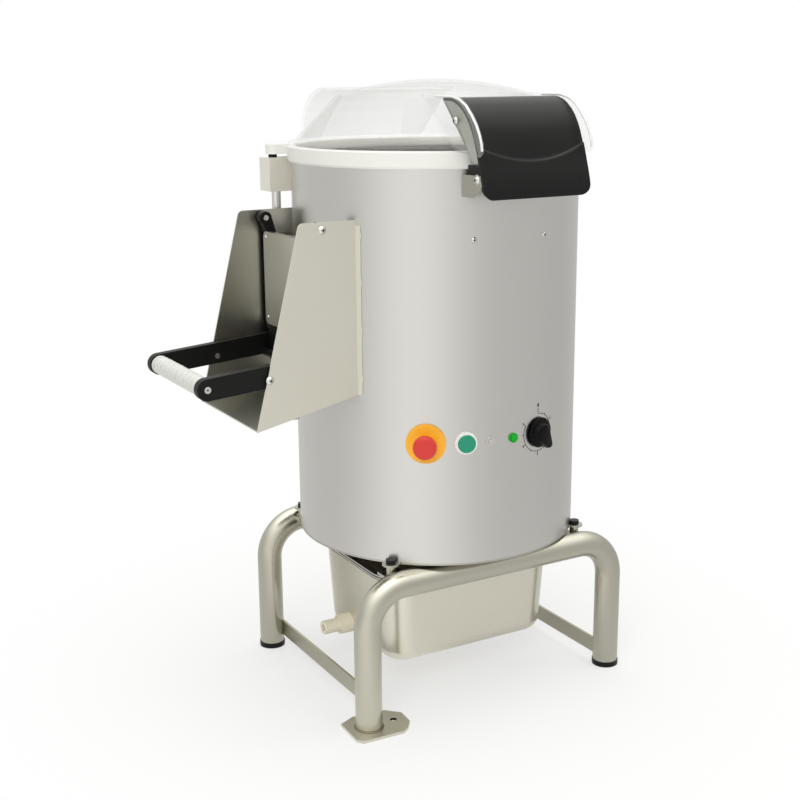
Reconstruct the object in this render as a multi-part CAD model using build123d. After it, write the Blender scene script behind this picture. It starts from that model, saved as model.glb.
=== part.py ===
# Potato peeling machine: stainless drum on a tubular stand, clear hinged lid, unloading chute
# with a hung door and clamping lever, rotating abrasive disc, collecting pan below.
# Millimetres, Z up, floor at z = 0, drum axis on x = y = 0.
# The control panel looks along -Y, the chute along -X.
import math
import os

from build123d import *

os.makedirs("parts", exist_ok=True)

# Driving dimensions
GAP = 0.3                 # face gap between pieces of different bodies
RUN = 0.06                # radial running clearance of pivots and shafts

DRUM_R = 218.0            # outer radius of the casing
SHEET = 1.5               # casing sheet
DRUM_Z0 = 240.0           # underside of the base plate
DRUM_Z1 = 832.0           # upper edge of the casing sheet
BASE_T = 3.0              # base plate
FLOOR_Z = 480.0           # underside of the chamber floor
FLOOR_T = 3.0
LINER_T = 6.0             # abrasive sleeve
DISC_R = DRUM_R - 15.0    # the lining and a gap for the peel
DISC_Z = FLOOR_Z + 18.0   # underside of the disc plate
DISC_T = 8.0
GRIT_T = 6.0

RING_OUT = 5.0            # the rim ring stands out this far past the casing
RING_IN = 7.0             # and reaches this far in past its outer face
RING_DOWN = 19.0          # its skirt below the upper edge of the casing
RING_UP = 5.0             # its top above that edge
RING_SEAT = 10.0          # its inner step, which holds the lining down
RING_R = DRUM_R + RING_OUT
RING_RI = DRUM_R - RING_IN
RING_Z0 = DRUM_Z1 - RING_DOWN
RING_Z1 = DRUM_Z1 + RING_UP

TUBE_R = 20.0             # stand tube
TUBE_W = 1.5              # its wall
LEG_X = 219.5             # half spacing of the legs
LEG_Y = 172.5
RUN_Z = 216.5             # centre height of the top run
BEND_R = 60.0             # centre line radius of the bends
BAR_H = 25.0              # flat stretcher bars
BAR_T = 4.0
BAR_Z0 = 19.0
CAP_H = 8.0               # black foot caps
PLATE_T = 4.0             # foot plate of the nearest leg

PAN_X = 325.0             # half-size gastronorm pan, rim size
PAN_Y = 265.0
PAN_D = 150.0
PAN_Z1 = 204.0            # top of the rim
PAN_RIM = 11.0
PAN_T = 1.0

CH_Y = 105.0              # chute side plates, outer face
CH_T = 2.0
CH_TOP = 742.0
CH_LIP_X = -DRUM_R - 134.0  # outer lower corner of the plates
CH_LIP_Z = 457.0
CH_TOP_X = -DRUM_R - 62.0
CH_IN_Z = 491.0           # height of the floor at the casing

HINGE_X = -DRUM_R - 26.5  # door pivot
HINGE_Z = 731.0
DOOR_X0 = -DRUM_R - 28.0  # outer face of the door
DOOR_X1 = -DRUM_R - 10.0  # seal face of the door
DOOR_Z0 = 516.0
DOOR_Z1 = 708.0
DOOR_W = 97.0             # half width of the upper part
DOOR_WL = 84.0            # half width of the lower part
PANEL_Z0 = 570.0
PANEL_Z1 = 711.0
SEAT_X = DOOR_X1 + GAP    # flat seat of the outlet frame
OUT_Y = 74.0              # half width of the outlet
NECK_W = 87.0             # half width of its frame
OUT_Z0 = 524.0
OUT_Z1 = 688.0

LEV_X = -DRUM_R - 112.0   # lever pivot
LEV_Z = 529.0
ARM_Y0 = 88.0             # arms, inner face
ARM_T = 13.0
ARM_R = 15.5              # half height of the arms
GRIP_X = -DRUM_R - 202.0
GRIP_Z = 526.0
TIP_X = -DRUM_R - 25.0
TIP_Z = 540.0
GRIP_R = 14.0
ROD_R = 6.0               # clamping cross rod

LID_PY = -DRUM_R - 25.0   # lid pivot
LID_PZ = 800.5
LID_T = 4.0
CONE_R0 = RING_R - 9.0    # foot of the lid cone
CONE_RUN = 67.0           # how far the cone leans in
CONE_R1 = CONE_R0 - CONE_RUN
LID_Z0 = RING_Z1 + GAP    # the lid lies on the ring
FLANGE_T = 4.0
CONE_H = 71.7
DOME_H = 22.0             # rise of the dome over the cone
CONE_Z1 = LID_Z0 + CONE_H
LID_TOP = CONE_Z1 + DOME_H
LID_SCREW_Y = -DRUM_R + 12.0
LID_SCREW_Z = RING_Z1 + 40.5
HOOD_W = 88.0             # half width of the hinge block
CHEEK_T = 4.0
GRIPBOX_W = 96.0          # half width of the clear grip box
BRK_X0 = 77.0             # hinge brackets, inner face
BRK_T = 3.0

CTRL_Z = 426.0            # height of the controls
AZ_STOP = -34.7           # angles round the casing from -Y toward +X
AZ_START = -19.6
AZ_RESET = -10.0
AZ_LAMP = 0.0
AZ_TIMER = 13.0


def out(name, shape):
    export_step(shape, "parts/" + name + ".step")


def cyl(r, z0, z1, x=0.0, y=0.0):
    return Pos(x, y, (z0 + z1) / 2) * Cylinder(r, z1 - z0)


def box(x0, x1, y0, y1, z0, z1):
    return Pos((x0 + x1) / 2, (y0 + y1) / 2, (z0 + z1) / 2) * Box(x1 - x0, y1 - y0, z1 - z0)


def cyl_y(r, x, z, y0, y1):
    return Pos(x, (y0 + y1) / 2, z) * Rot(90, 0, 0) * Cylinder(r, abs(y1 - y0))


def cyl_x(r, y, z, x0, x1):
    return Pos((x0 + x1) / 2, y, z) * Rot(0, 90, 0) * Cylinder(r, abs(x1 - x0))


def prism_y(pts, y0, y1):
    # polygon given as (x, z), extruded from y0 to y1
    face = make_face(Polyline(*[(x, y0, z) for x, z in pts], close=True))
    return extrude(face, amount=abs(y1 - y0), dir=(0, 1 if y1 > y0 else -1, 0))


def prism_x(pts, x0, x1):
    # polygon given as (y, z), extruded from x0 to x1
    face = make_face(Polyline(*[(x0, y, z) for y, z in pts], close=True))
    return extrude(face, amount=abs(x1 - x0), dir=(1 if x1 > x0 else -1, 0, 0))


def lathe(pts):
    # polygon given as (r, z), turned round the drum axis
    face = make_face(Polyline(*[(r, 0, z) for r, z in pts], close=True))
    return revolve(face, Axis.Z, 360)


def unit(az):
    a = math.radians(az)
    return math.sin(a), -math.cos(a)


def radial(az, z, r0, r1, rad):
    # cylinder whose axis is a radius of the drum
    ux, uy = unit(az)
    m = (r0 + r1) / 2
    plane = Plane(origin=(ux * m, uy * m, z), x_dir=(-uy, ux, 0), z_dir=(ux, uy, 0))
    return plane * Cylinder(rad, r1 - r0)


def dome_head(rad, h):
    # domed screw head standing on z = 0
    ball = (rad * rad + h * h) / (2 * h)
    cap = Pos(0, 0, h - ball) * Sphere(ball)
    return cap & (Pos(0, 0, h / 2) * Cylinder(rad, h))


def screw_y(x, z, y_face, side, head_r, head_h, shank_r, shank_l):
    # domed screw seated on a plate face at y_face, side is the outward sign of y
    head = Pos(x, y_face, z) * Rot(-90 * side, 0, 0) * dome_head(head_r, head_h)
    return head + cyl_y(shank_r, x, z, y_face - side * shank_l, y_face)


def screw_x(y, z, x_face, side, head_r, head_h, shank_r, shank_l):
    head = Pos(x_face, y, z) * Rot(0, 90 * side, 0) * dome_head(head_r, head_h)
    return head + cyl_x(shank_r, y, z, x_face - side * shank_l, x_face)


def wall(az, z, low, high, rad):
    # the same, with both ends measured outward from the casing
    return radial(az, z, DRUM_R + low, DRUM_R + high, rad)


def front(pts):
    # (y, z) with y measured from the foremost line of the casing, positive inward
    return [(y - DRUM_R, z) for y, z in pts]


def back(pts):
    # (y, z) with y measured from the rearmost line of the casing, positive outward
    return [(y + DRUM_R, z) for y, z in pts]


drum_solid = cyl(DRUM_R, 0, LID_TOP + 70)

# Stand
def frame_path(y):
    a = LEG_X - BEND_R
    zb = RUN_Z - BEND_R
    foot = PLATE_T
    s = math.sqrt(0.5) * BEND_R
    left = Line((-LEG_X, y, foot), (-LEG_X, y, zb))
    bend1 = ThreePointArc((-LEG_X, y, zb), (-a - s, y, zb + s), (-a, y, RUN_Z))
    top = Line((-a, y, RUN_Z), (a, y, RUN_Z))
    bend2 = ThreePointArc((a, y, RUN_Z), (a + s, y, zb + s), (LEG_X, y, zb))
    right = Line((LEG_X, y, zb), (LEG_X, y, foot))
    return left + bend1 + top + bend2 + right


def frame(y):
    path = frame_path(y)
    ring = Plane(origin=(-LEG_X, y, PLATE_T), z_dir=(0, 0, 1)) * (Circle(TUBE_R) - Circle(TUBE_R - TUBE_W))
    return sweep(ring, path=path)


front_frame = frame(-LEG_Y)
rear_frame = frame(LEG_Y)
out("front_frame", front_frame)
out("rear_frame", rear_frame)

legs_solid = Compound([cyl(TUBE_R, 0, 120, sx * LEG_X, sy * LEG_Y) for sx in (-1, 1) for sy in (-1, 1)])
bars = []
for sx in (-1, 1):
    xc = sx * (LEG_X - TUBE_R + BAR_T)
    bar = box(xc - BAR_T / 2, xc + BAR_T / 2, -LEG_Y, LEG_Y, BAR_Z0, BAR_Z0 + BAR_H)
    bar = bar - cyl(TUBE_R, 0, 120, sx * LEG_X, -LEG_Y) - cyl(TUBE_R, 0, 120, sx * LEG_X, LEG_Y)
    bars.append(max(bar.solids(), key=lambda s: s.volume))
out("side_bars", Compound(bars))

plate_pts = [(-227, -134), (-252, -145), (-254, -199), (-247, -208), (-182, -211), (-171, -204),
             (-159, -188), (-157, -159), (-176, -140)]
foot_plate = extrude(make_face(Polyline(*[(x, y, 0) for x, y in plate_pts], close=True)), amount=PLATE_T,
                     dir=(0, 0, 1))
foot_plate = foot_plate - cyl(5.0, -1, PLATE_T + 1, -178, -172)
out("foot_plate", foot_plate)

caps = []
for sx, sy in ((1, -1), (-1, 1), (1, 1)):
    x, y = sx * LEG_X, sy * LEG_Y
    cap = cyl(TUBE_R + 1.0, 0, PLATE_T, x, y)
    cap = cap + (cyl(TUBE_R + 1.0, PLATE_T, CAP_H, x, y) - cyl(TUBE_R, PLATE_T, CAP_H, x, y))
    plug = cyl(TUBE_R - TUBE_W, PLATE_T, 22, x, y) - cyl(TUBE_R - TUBE_W - 3, PLATE_T, 22, x, y)
    caps.append(cap + plug)
out("foot_caps", Compound(caps))

# four posts that carry the casing: a lug welded to the tube, a stud, a cap nut
POST_X = LEG_X - 52.5
POST_Y = LEG_Y - 22.5
LUG_T = 4.0
LUG_Z = RUN_Z + 9.5       # top of the lugs
STUD = 7.0                # the stud ends this far above the base plate's underside
NUT_TOP = 9.0
lugs = []
nuts = []
for sx in (-1, 1):
    for sy in (-1, 1):
        x, y = sx * POST_X, sy * POST_Y
        near, far = sorted((sy * (LEG_Y - 40.5), sy * LEG_Y))
        lug = box(x - 13, x + 13, near, far, LUG_Z - LUG_T, LUG_Z)
        near, far = sorted((sy * (LEG_Y - 38.5), sy * LEG_Y))
        web = box(x - 2, x + 2, near, far, RUN_Z - 8.5, LUG_Z - LUG_T)
        tube_near = cyl_x(TUBE_R, sy * LEG_Y, RUN_Z, -LEG_X + BEND_R, LEG_X - BEND_R)
        bend = Rot(90, 0, 0) * Torus(BEND_R, TUBE_R)
        bend = Pos(sx * (LEG_X - BEND_R), sy * LEG_Y, RUN_Z - BEND_R) * bend
        post = (lug + web + cyl(7.0, LUG_Z, DRUM_Z0, x, y)) - tube_near - bend
        post = max(post.solids(), key=lambda s: s.volume)
        post = post + cyl(4.0, DRUM_Z0, DRUM_Z0 + STUD, x, y)
        lugs.append(post)
        nut = cyl(7.5, DRUM_Z0 + BASE_T, DRUM_Z0 + NUT_TOP, x, y) - cyl(4.0, DRUM_Z0, DRUM_Z0 + STUD, x, y)
        nuts.append(nut)
out("drum_posts", Compound(lugs))

rails = []
for sy in (-1, 1):
    y0 = sy * (LEG_Y - TUBE_R)
    z_top = PAN_Z1 - 6.0 - GAP
    y_in = sy * (PAN_Y / 2 - 6.5)
    pts = [(y0, z_top - 3), (y_in, z_top - 3), (y_in, z_top), (y0 - sy * 2.5, z_top),
           (y0 - sy * 2.5, LUG_Z), (y0, LUG_Z)]
    rails.append(prism_x(pts, -145, 145))
out("pan_rails", Compound(rails))

# Casing
# two rolled rings meet flush at the chamber floor: the drive housing below, the drum wall above
shell = cyl(DRUM_R, DRUM_Z0 + BASE_T, DRUM_Z1) - cyl(DRUM_R - SHEET, DRUM_Z0, DRUM_Z1 + 1)
shell = shell - box(-DRUM_R - 5, -DRUM_R + 98, -OUT_Y, OUT_Y, OUT_Z0, OUT_Z1)
for az, r in ((AZ_STOP, 11.2), (AZ_START, 11.2), (AZ_RESET, 5.2), (AZ_LAMP, 5.6), (AZ_TIMER, 6.2)):
    shell = shell - wall(az, CTRL_Z, -28, 12, r)
SCREW_AZ = (-16.8, 14.1)
SCREW_Z = 716.0
for az in SCREW_AZ:
    shell = shell - wall(az, SCREW_Z, -28, 12, 2.0)
INLET_Z = 770.0
shell = shell - wall(180, INLET_Z, -28, 12, 10.5)
CONDUIT_Z = 410.0
CON_X, CON_Y = -DRUM_R + 6.0, 116.0
shell = shell - cyl_x(7.2, CON_Y, CONDUIT_Z, -DRUM_R - 12, -DRUM_R + 68)
GLAND_Z = 320.0
shell = shell - wall(180, GLAND_Z, -28, 12, 10.2)
out("drum_wall", shell - cyl(DRUM_R + 5, 0, FLOOR_Z))
out("drive_housing", shell & cyl(DRUM_R + 5, 0, FLOOR_Z))

WASTE = (90.0, 75.0)
WASTE_R = 30.0
base = cyl(DRUM_R, DRUM_Z0, DRUM_Z0 + BASE_T)
for sx in (-1, 1):
    for sy in (-1, 1):
        base = base + cyl(13.0, DRUM_Z0, DRUM_Z0 + BASE_T, sx * POST_X, sy * POST_Y)
        base = base - cyl(4.0, DRUM_Z0 - 1, DRUM_Z0 + BASE_T + 1, sx * POST_X, sy * POST_Y)
base = base - cyl(WASTE_R, DRUM_Z0 - 1, DRUM_Z0 + BASE_T + 1, *WASTE)
for k in range(6):
    a = math.radians(60 * k + 200)
    if math.hypot(150 * math.cos(a) - WASTE[0], 150 * math.sin(a) - WASTE[1]) > 75:
        base = base - cyl(9.0, DRUM_Z0 - 1, DRUM_Z0 + BASE_T + 1, 150 * math.cos(a), 150 * math.sin(a))
out("drum_base", base)

nut_bodies = []
for n in nuts:
    nut_bodies.append(n - cyl(DRUM_R, DRUM_Z0, DRUM_Z1))
out("post_nuts", Compound(nut_bodies))

CHAMBER_R = DRUM_R - SHEET
floor = cyl(CHAMBER_R, FLOOR_Z, FLOOR_Z + FLOOR_T) - cyl(26.0, FLOOR_Z - 1, FLOOR_Z + FLOOR_T + 1)
floor = floor - cyl(WASTE_R - 2, FLOOR_Z - 1, FLOOR_Z + FLOOR_T + 1, *WASTE)
out("chamber_floor", floor)

LINER_Z0 = FLOOR_Z + FLOOR_T
LINER_Z1 = DRUM_Z1 - RING_SEAT
LINER_SEGS = 6            # removable segments, one of them holds the outlet
liner = cyl(CHAMBER_R, LINER_Z0, LINER_Z1) - cyl(CHAMBER_R - LINER_T, LINER_Z0 - 1, LINER_Z1 + 1)
liner = liner - box(-DRUM_R - 5, -DRUM_R + 98, -OUT_Y, OUT_Y, OUT_Z0, OUT_Z1)
liner = liner - wall(180, INLET_Z, -38, 12, 11.5)
for az in SCREW_AZ:
    liner = liner - wall(az, SCREW_Z, -18, 12, 2.0)
segs = []
for k in range(LINER_SEGS):
    half = 180 / LINER_SEGS - 0.08
    reach = (DRUM_R + 82) / math.cos(math.radians(half))
    a = math.radians(180 + 360 / LINER_SEGS * k)
    h = math.radians(half)
    wedge = Polyline((0, 0, LINER_Z0), (reach * math.cos(a - h), reach * math.sin(a - h), LINER_Z0),
                     (reach * math.cos(a + h), reach * math.sin(a + h), LINER_Z0), close=True)
    wedge = extrude(make_face(wedge), amount=LINER_Z1 - LINER_Z0, dir=(0, 0, 1))
    seg = liner & wedge
    segs.extend(seg.solids())
out("abrasive_liner", Compound(segs))

LUG = (-RING_R - 3.0, 102.0, 130.0)  # outer x, y range of the ring's side lug
groove = [(RING_RI, LINER_Z1), (CHAMBER_R, LINER_Z1), (CHAMBER_R, DRUM_Z1), (DRUM_R, DRUM_Z1),
          (DRUM_R, RING_Z0), (RING_R - 2, RING_Z0), (RING_R, RING_Z0 + 3), (RING_R, RING_Z1 - 2), (RING_R - 2, RING_Z1),
          (RING_RI + 2, RING_Z1), (RING_RI, RING_Z1 - 2)]
ring = lathe(groove)
lug = box(LUG[0], -DRUM_R + 33, LUG[1], LUG[2], RING_Z0 + 10, RING_Z1)
lug = fillet(lug.edges().filter_by(Axis.Z).group_by(Axis.X)[0], 13)
lug = lug - cyl(RING_R - 3, RING_Z0, RING_Z1 + 1)
out("rim_ring", ring + lug)

# Drive, inside the casing
GB_R = 75.0
GB_Z0 = 404.0
MOT_R = 66.0
MOT_Z0 = 268.0
SHAFT_R = 14.0
gearbox = cyl(GB_R, GB_Z0, FLOOR_Z - 6) + cyl(86, FLOOR_Z - 6, FLOOR_Z)
gearbox = gearbox - cyl(SHAFT_R + RUN, GB_Z0 + 12, FLOOR_Z + 1)
gearbox = gearbox - cyl(24.0, FLOOR_Z - 10, FLOOR_Z + 1)
gearbox = gearbox - cyl(WASTE_R, FLOOR_Z - 12, FLOOR_Z + 1, *WASTE)
out("gearbox", gearbox)

motor = cyl(MOT_R, MOT_Z0 + 16, GB_Z0)
for k in range(18):
    a = 20 * k
    fin = Pos(0, 0, (MOT_Z0 + 30 + GB_Z0 - 14) / 2) * Rot(0, 0, a) * Pos(MOT_R + 1.5, 0, 0) * \
        Box(5, 3, GB_Z0 - 14 - MOT_Z0 - 30)
    if abs((a + 180) % 360 - 180) > 25:
        motor = motor + fin
motor = motor + box(MOT_R - 6, MOT_R + 26, -32, 32, 318, 384)
out("motor", motor)
fan_cover = cyl(MOT_R, MOT_Z0, MOT_Z0 + 16) - cyl(MOT_R - 3, MOT_Z0 + 3, MOT_Z0 + 16)
for k in range(8):
    a = math.radians(45 * k)
    fan_cover = fan_cover - cyl(6.0, MOT_Z0 - 1, MOT_Z0 + 4, 42 * math.cos(a), 42 * math.sin(a))
out("motor_fan_cover", fan_cover)

seal = cyl(26.0, FLOOR_Z, FLOOR_Z + 12) - cyl(SHAFT_R + RUN, FLOOR_Z - 1, FLOOR_Z + 13)
seal = seal - cyl(24.0, FLOOR_Z - 1, FLOOR_Z)
seal = seal + (cyl(30.0, FLOOR_Z + FLOOR_T, FLOOR_Z + 6) - cyl(20.0, FLOOR_Z - 10, FLOOR_Z + 10))
out("shaft_seal", seal)

shaft = cyl(SHAFT_R, GB_Z0 + 14, DISC_Z - 4) + cyl(34.0, DISC_Z - 4, DISC_Z)
shaft = shaft + cyl(9.0, DISC_Z, DISC_Z + DISC_T + GRIT_T + 2)
out("drive_shaft", shaft)

disc = cyl(DISC_R, DISC_Z, DISC_Z + DISC_T) - cyl(9.0, DISC_Z - 1, DISC_Z + DISC_T + 1)
for k in range(3):
    paddle = Rot(0, 0, 120 * k + 30) * box(60, 190, -4, 4, FLOOR_Z + FLOOR_T + 3, DISC_Z)
    disc = disc + paddle
out("disc_plate", disc)
GZ = DISC_Z + DISC_T
grit = cyl(DISC_R, GZ, GZ + GRIT_T) - cyl(9.0, GZ - 1, GZ + GRIT_T + 1)
for k in range(3):
    wave = Pos(115, 0, GZ + GRIT_T - 9) * Rot(0, 90, 0) * Cylinder(17, 140)
    wave = wave & box(40, 190, -20, 20, GZ + GRIT_T - 2, GZ + GRIT_T + 17)
    grit = grit + Rot(0, 0, 120 * k) * wave
out("disc_grit", grit)
knob = cyl(16.0, GZ + GRIT_T, GZ + GRIT_T + 14) - cyl(9.0, GZ, GZ + GRIT_T + 2)
knob = fillet(knob.edges().group_by(Axis.Z)[-1], 4)
out("disc_nut", knob)

pipe = cyl(WASTE_R, 214, FLOOR_Z, *WASTE) - cyl(WASTE_R - 2, 213, FLOOR_Z + 1, *WASTE)
out("waste_pipe", pipe)

panel_box = box(-150, -92, 60, 150, DRUM_Z0 + BASE_T, 390)
out("electrics_box", fillet(panel_box.edges().filter_by(Axis.Z), 4))

# water inlet, plain nipple with a flange on the hidden rear side
nip = wall(180, INLET_Z, -14, 34, 10.5) - wall(180, INLET_Z, -18, 42, 7.5)
nip = nip + (wall(180, INLET_Z, -2, 4, 17) - drum_solid - wall(180, INLET_Z, -18, 42, 10.0))
nip = nip + (wall(180, INLET_Z, 20, 34, 13.2) - wall(180, INLET_Z, -18, 42, 10.0))
out("water_inlet", nip)

gland = wall(180, GLAND_Z, -12, 20, 10.2) + (wall(180, GLAND_Z, -2, 6, 14) - drum_solid)
gland = gland + wall(180, GLAND_Z, 6, 20, 12)
gland = gland - wall(180, GLAND_Z, -18, 22, 5.0)
out("cable_gland", gland)

# Lid switch on the left
SW_Z1 = RING_Z0 + 5.0     # top of the switch box
sw = box(-DRUM_R - 12, -DRUM_R + 38, 98, 134, SW_Z1 - 50, SW_Z1)
sw = sw - drum_solid - cyl(RING_R, RING_Z0, RING_Z1)
sw = max(sw.solids(), key=lambda s: s.volume)
sw = sw - cyl(7.0, SW_Z1 - 58, SW_Z1 - 42, CON_X, CON_Y)
out("switch_box", sw)
plunger = Pos(CON_X - 4, CON_Y, SW_Z1) * Cylinder(6.5, 5, align=(Align.CENTER, Align.CENTER, Align.MIN))
out("switch_screw", plunger)
con_s = math.sqrt(0.5)
CB = 22.0
bend_in = (CON_X, CON_Y, CONDUIT_Z + CB)
bend_mid = (CON_X + CB * (1 - con_s), CON_Y, CONDUIT_Z + CB * (1 - con_s))
bend_out = (CON_X + CB, CON_Y, CONDUIT_Z)
con_path = Line((CON_X, CON_Y, SW_Z1 - 42), bend_in) + ThreePointArc(bend_in, bend_mid, bend_out) + \
    Line(bend_out, (-DRUM_R + 46, CON_Y, CONDUIT_Z))
conduit = sweep(Plane(origin=(CON_X, CON_Y, SW_Z1 - 42), z_dir=(0, 0, -1)) * Circle(7.0), path=con_path)
out("switch_conduit", conduit)
clip = box(-DRUM_R - 4, -DRUM_R + 35, CON_Y - 2, CON_Y + 3, 640, 655) + cyl(10.5, 640, 655, CON_X, CON_Y)
clip = clip - drum_solid - cyl(7.0, 630, 660, CON_X, CON_Y)
clip = clip & box(-DRUM_R - 12, -DRUM_R + 38, CON_Y + 2.5 - 14, 140, 630, 660)
clip = max(clip.solids(), key=lambda s: s.volume)
out("conduit_clip", clip)

# Chute
INNER_X = -DRUM_R + 68.0  # the plates are drawn to here and then cut by the casing
slope = (CH_IN_Z - CH_LIP_Z) / (-DRUM_R + 27 - CH_LIP_X)
side_pts = [(CH_TOP_X, CH_TOP), (CH_LIP_X, CH_LIP_Z), (INNER_X, CH_LIP_Z + slope * (INNER_X - CH_LIP_X)),
            (INNER_X, CH_TOP)]
for name, y0, y1 in (("chute_plate_near", -CH_Y, -CH_Y + CH_T), ("chute_plate_far", CH_Y - CH_T, CH_Y)):
    sp = prism_y(side_pts, y0, y1)
    sp = sp - drum_solid
    sp = max(sp.solids(), key=lambda s: s.volume)
    corner = [e for e in sp.edges().filter_by(Axis.Y) if e.center().Z > CH_TOP - 1]
    corner = sorted(corner, key=lambda e: e.center().X)
    sp = fillet([corner[0], corner[-1]], 8)
    sp = sp - cyl_y(4.0, HINGE_X, HINGE_Z, y0 - 1, y1 + 1) - cyl_y(4.0, LEV_X, LEV_Z, y0 - 1, y1 + 1)
    # narrow weld flange lying on the casing
    s = -1 if y0 < 0 else 1
    a_in = math.asin(CH_Y / (DRUM_R + 1.5))
    a_out = a_in + math.radians(1.9)
    strip = cyl(DRUM_R + 1.5, CH_IN_Z, CH_TOP - 8) - drum_solid
    wedge = Polyline((0, 0, 400), (-400 * math.cos(a_in), s * 400 * math.sin(a_in), 400),
                     (-400 * math.cos(a_out), s * 400 * math.sin(a_out), 400), close=True)
    wedge = extrude(make_face(wedge), amount=400, dir=(0, 0, 1))
    out(name, sp + (strip & wedge))

fx0, fx1 = CH_LIP_X + 1, INNER_X
fz0 = CH_LIP_Z + slope * 1
fz1 = CH_LIP_Z + slope * (fx1 - CH_LIP_X)
fl = prism_y([(fx0, fz0), (fx1, fz1), (fx1, fz1 + CH_T), (fx0, fz0 + CH_T)], -CH_Y + CH_T, CH_Y - CH_T)
fl = fl - drum_solid
fl = max(fl.solids(), key=lambda s: s.volume)
out("chute_floor", fl)

neck = box(SEAT_X, -DRUM_R + 98, -NECK_W, NECK_W, OUT_Z0 - 12, OUT_Z1 + 14) - drum_solid
neck = neck - box(-DRUM_R - 42, -DRUM_R + 118, -OUT_Y, OUT_Y, OUT_Z0, OUT_Z1)
neck = max(neck.solids(), key=lambda s: s.volume)
out("outlet_frame", neck)

# Door on top pivots
core = box(DOOR_X0 + 1.5, DOOR_X1, -DOOR_W, DOOR_W, PANEL_Z0 - 8, DOOR_Z1)
core = fillet(core.edges().filter_by(Axis.X), 8)
core = core + box(DOOR_X0, DOOR_X1, -DOOR_WL, DOOR_WL, DOOR_Z0, PANEL_Z0 - 1)
for s in (-1, 1):
    hub = cyl_y(9.5, HINGE_X, HINGE_Z, s * 84, s * 97)
    gusset = prism_y([(HINGE_X - 9, HINGE_Z + 3), (HINGE_X + 8, HINGE_Z + 5), (DOOR_X1, DOOR_Z1),
                      (DOOR_X0 + 2, DOOR_Z1)], s * 84, s * 97)
    core = core + hub + gusset
for s in (-1, 1):
    core = core - cyl_y(4.0 + RUN, HINGE_X, HINGE_Z, s * 80, s * 100)
pan_face = box(DOOR_X0, DOOR_X0 + 1.5, -93, 93, PANEL_Z0, PANEL_Z1)
pan_face = fillet(pan_face.edges().filter_by(Axis.X), 10)
pan_face = pan_face + box(DOOR_X0, DOOR_X0 + 9, -83, 83, PANEL_Z1 - 1.5, PANEL_Z1)
pan_face = pan_face - box(DOOR_X0 + 1.5, DOOR_X0 + 30, -100, 100, 500, DOOR_Z1)
out("door_body", core - pan_face)
pins = []
for y in (-84, 84):
    for z in (581, 703):
        pins.append(screw_x(y, z, DOOR_X0, -1, 3.2, 1.8, 1.6, 1.5))
        pan_face = pan_face - cyl_x(1.6, y, z, DOOR_X0 - 1, DOOR_X0 + 1.5)
out("door_panel", pan_face)
out("door_screws", Compound(pins))

pivots = []
for s in (-1, 1):
    pivots.append(screw_y(HINGE_X, HINGE_Z, s * CH_Y, s, 6.0, 3.5, 4.0, 22.0))
    pivots.append(screw_y(LEV_X, LEV_Z, s * CH_Y, s, 6.0, 3.5, 4.0, 19.0))
out("pivot_screws", Compound(pivots))

# Clamping lever
def arm(y0, y1):
    dx, dz = TIP_X - GRIP_X, TIP_Z - GRIP_Z
    length = math.hypot(dx, dz)
    nx, nz = -dz / length * ARM_R, dx / length * ARM_R
    pts = [(GRIP_X + nx, GRIP_Z + nz), (TIP_X + nx, TIP_Z + nz), (TIP_X - nx, TIP_Z - nz),
           (GRIP_X - nx, GRIP_Z - nz)]
    a = prism_y(pts, y0, y1) + cyl_y(ARM_R, GRIP_X, GRIP_Z, y0, y1) + cyl_y(ARM_R, TIP_X, TIP_Z, y0, y1)
    return a


ROD_X = DOOR_X0 - GAP - ROD_R
ROD_Z = LEV_Z - 1.0
arms = arm(-ARM_Y0 - ARM_T, -ARM_Y0) + arm(ARM_Y0, ARM_Y0 + ARM_T)
arms = arms + cyl_y(ROD_R, ROD_X, ROD_Z, -ARM_Y0, ARM_Y0)
for s in (-1, 1):
    arms = arms - cyl_y(4.0 + RUN, LEV_X, LEV_Z, s * 80, s * 104)
    cone = Pos(GRIP_X, s * (ARM_Y0 + ARM_T), GRIP_Z) * Rot(-90 * s, 0, 0) * Pos(0, 0, -1.4) * \
        Cone(2.0, 4.8, 2.8)
    arms = arms - cone - cyl_y(2.0, GRIP_X, GRIP_Z, s * 80, s * 104)
out("lever_arms", arms)
grip = cyl_y(GRIP_R, GRIP_X, GRIP_Z, -ARM_Y0, ARM_Y0)
for s in (-1, 1):
    grip = grip - cyl_y(2.0, GRIP_X, GRIP_Z, s * 70, s * 90)
out("lever_grip", grip)
gs = []
for s in (-1, 1):
    cone = Pos(GRIP_X, s * (ARM_Y0 + ARM_T), GRIP_Z) * Rot(-90 * s, 0, 0) * Pos(0, 0, -1.4) * \
        Cone(2.0, 4.8, 2.8)
    one = cone + cyl_y(2.0, GRIP_X, GRIP_Z, s * 70, s * (ARM_Y0 + ARM_T - 2))
    slot1 = Pos(GRIP_X, s * (ARM_Y0 + ARM_T), GRIP_Z) * Box(4.0, 2.0, 1.0)
    slot2 = Pos(GRIP_X, s * (ARM_Y0 + ARM_T), GRIP_Z) * Box(1.0, 2.0, 4.0)
    gs.append(one - slot1 - slot2)
out("lever_screws", Compound(gs))

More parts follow.
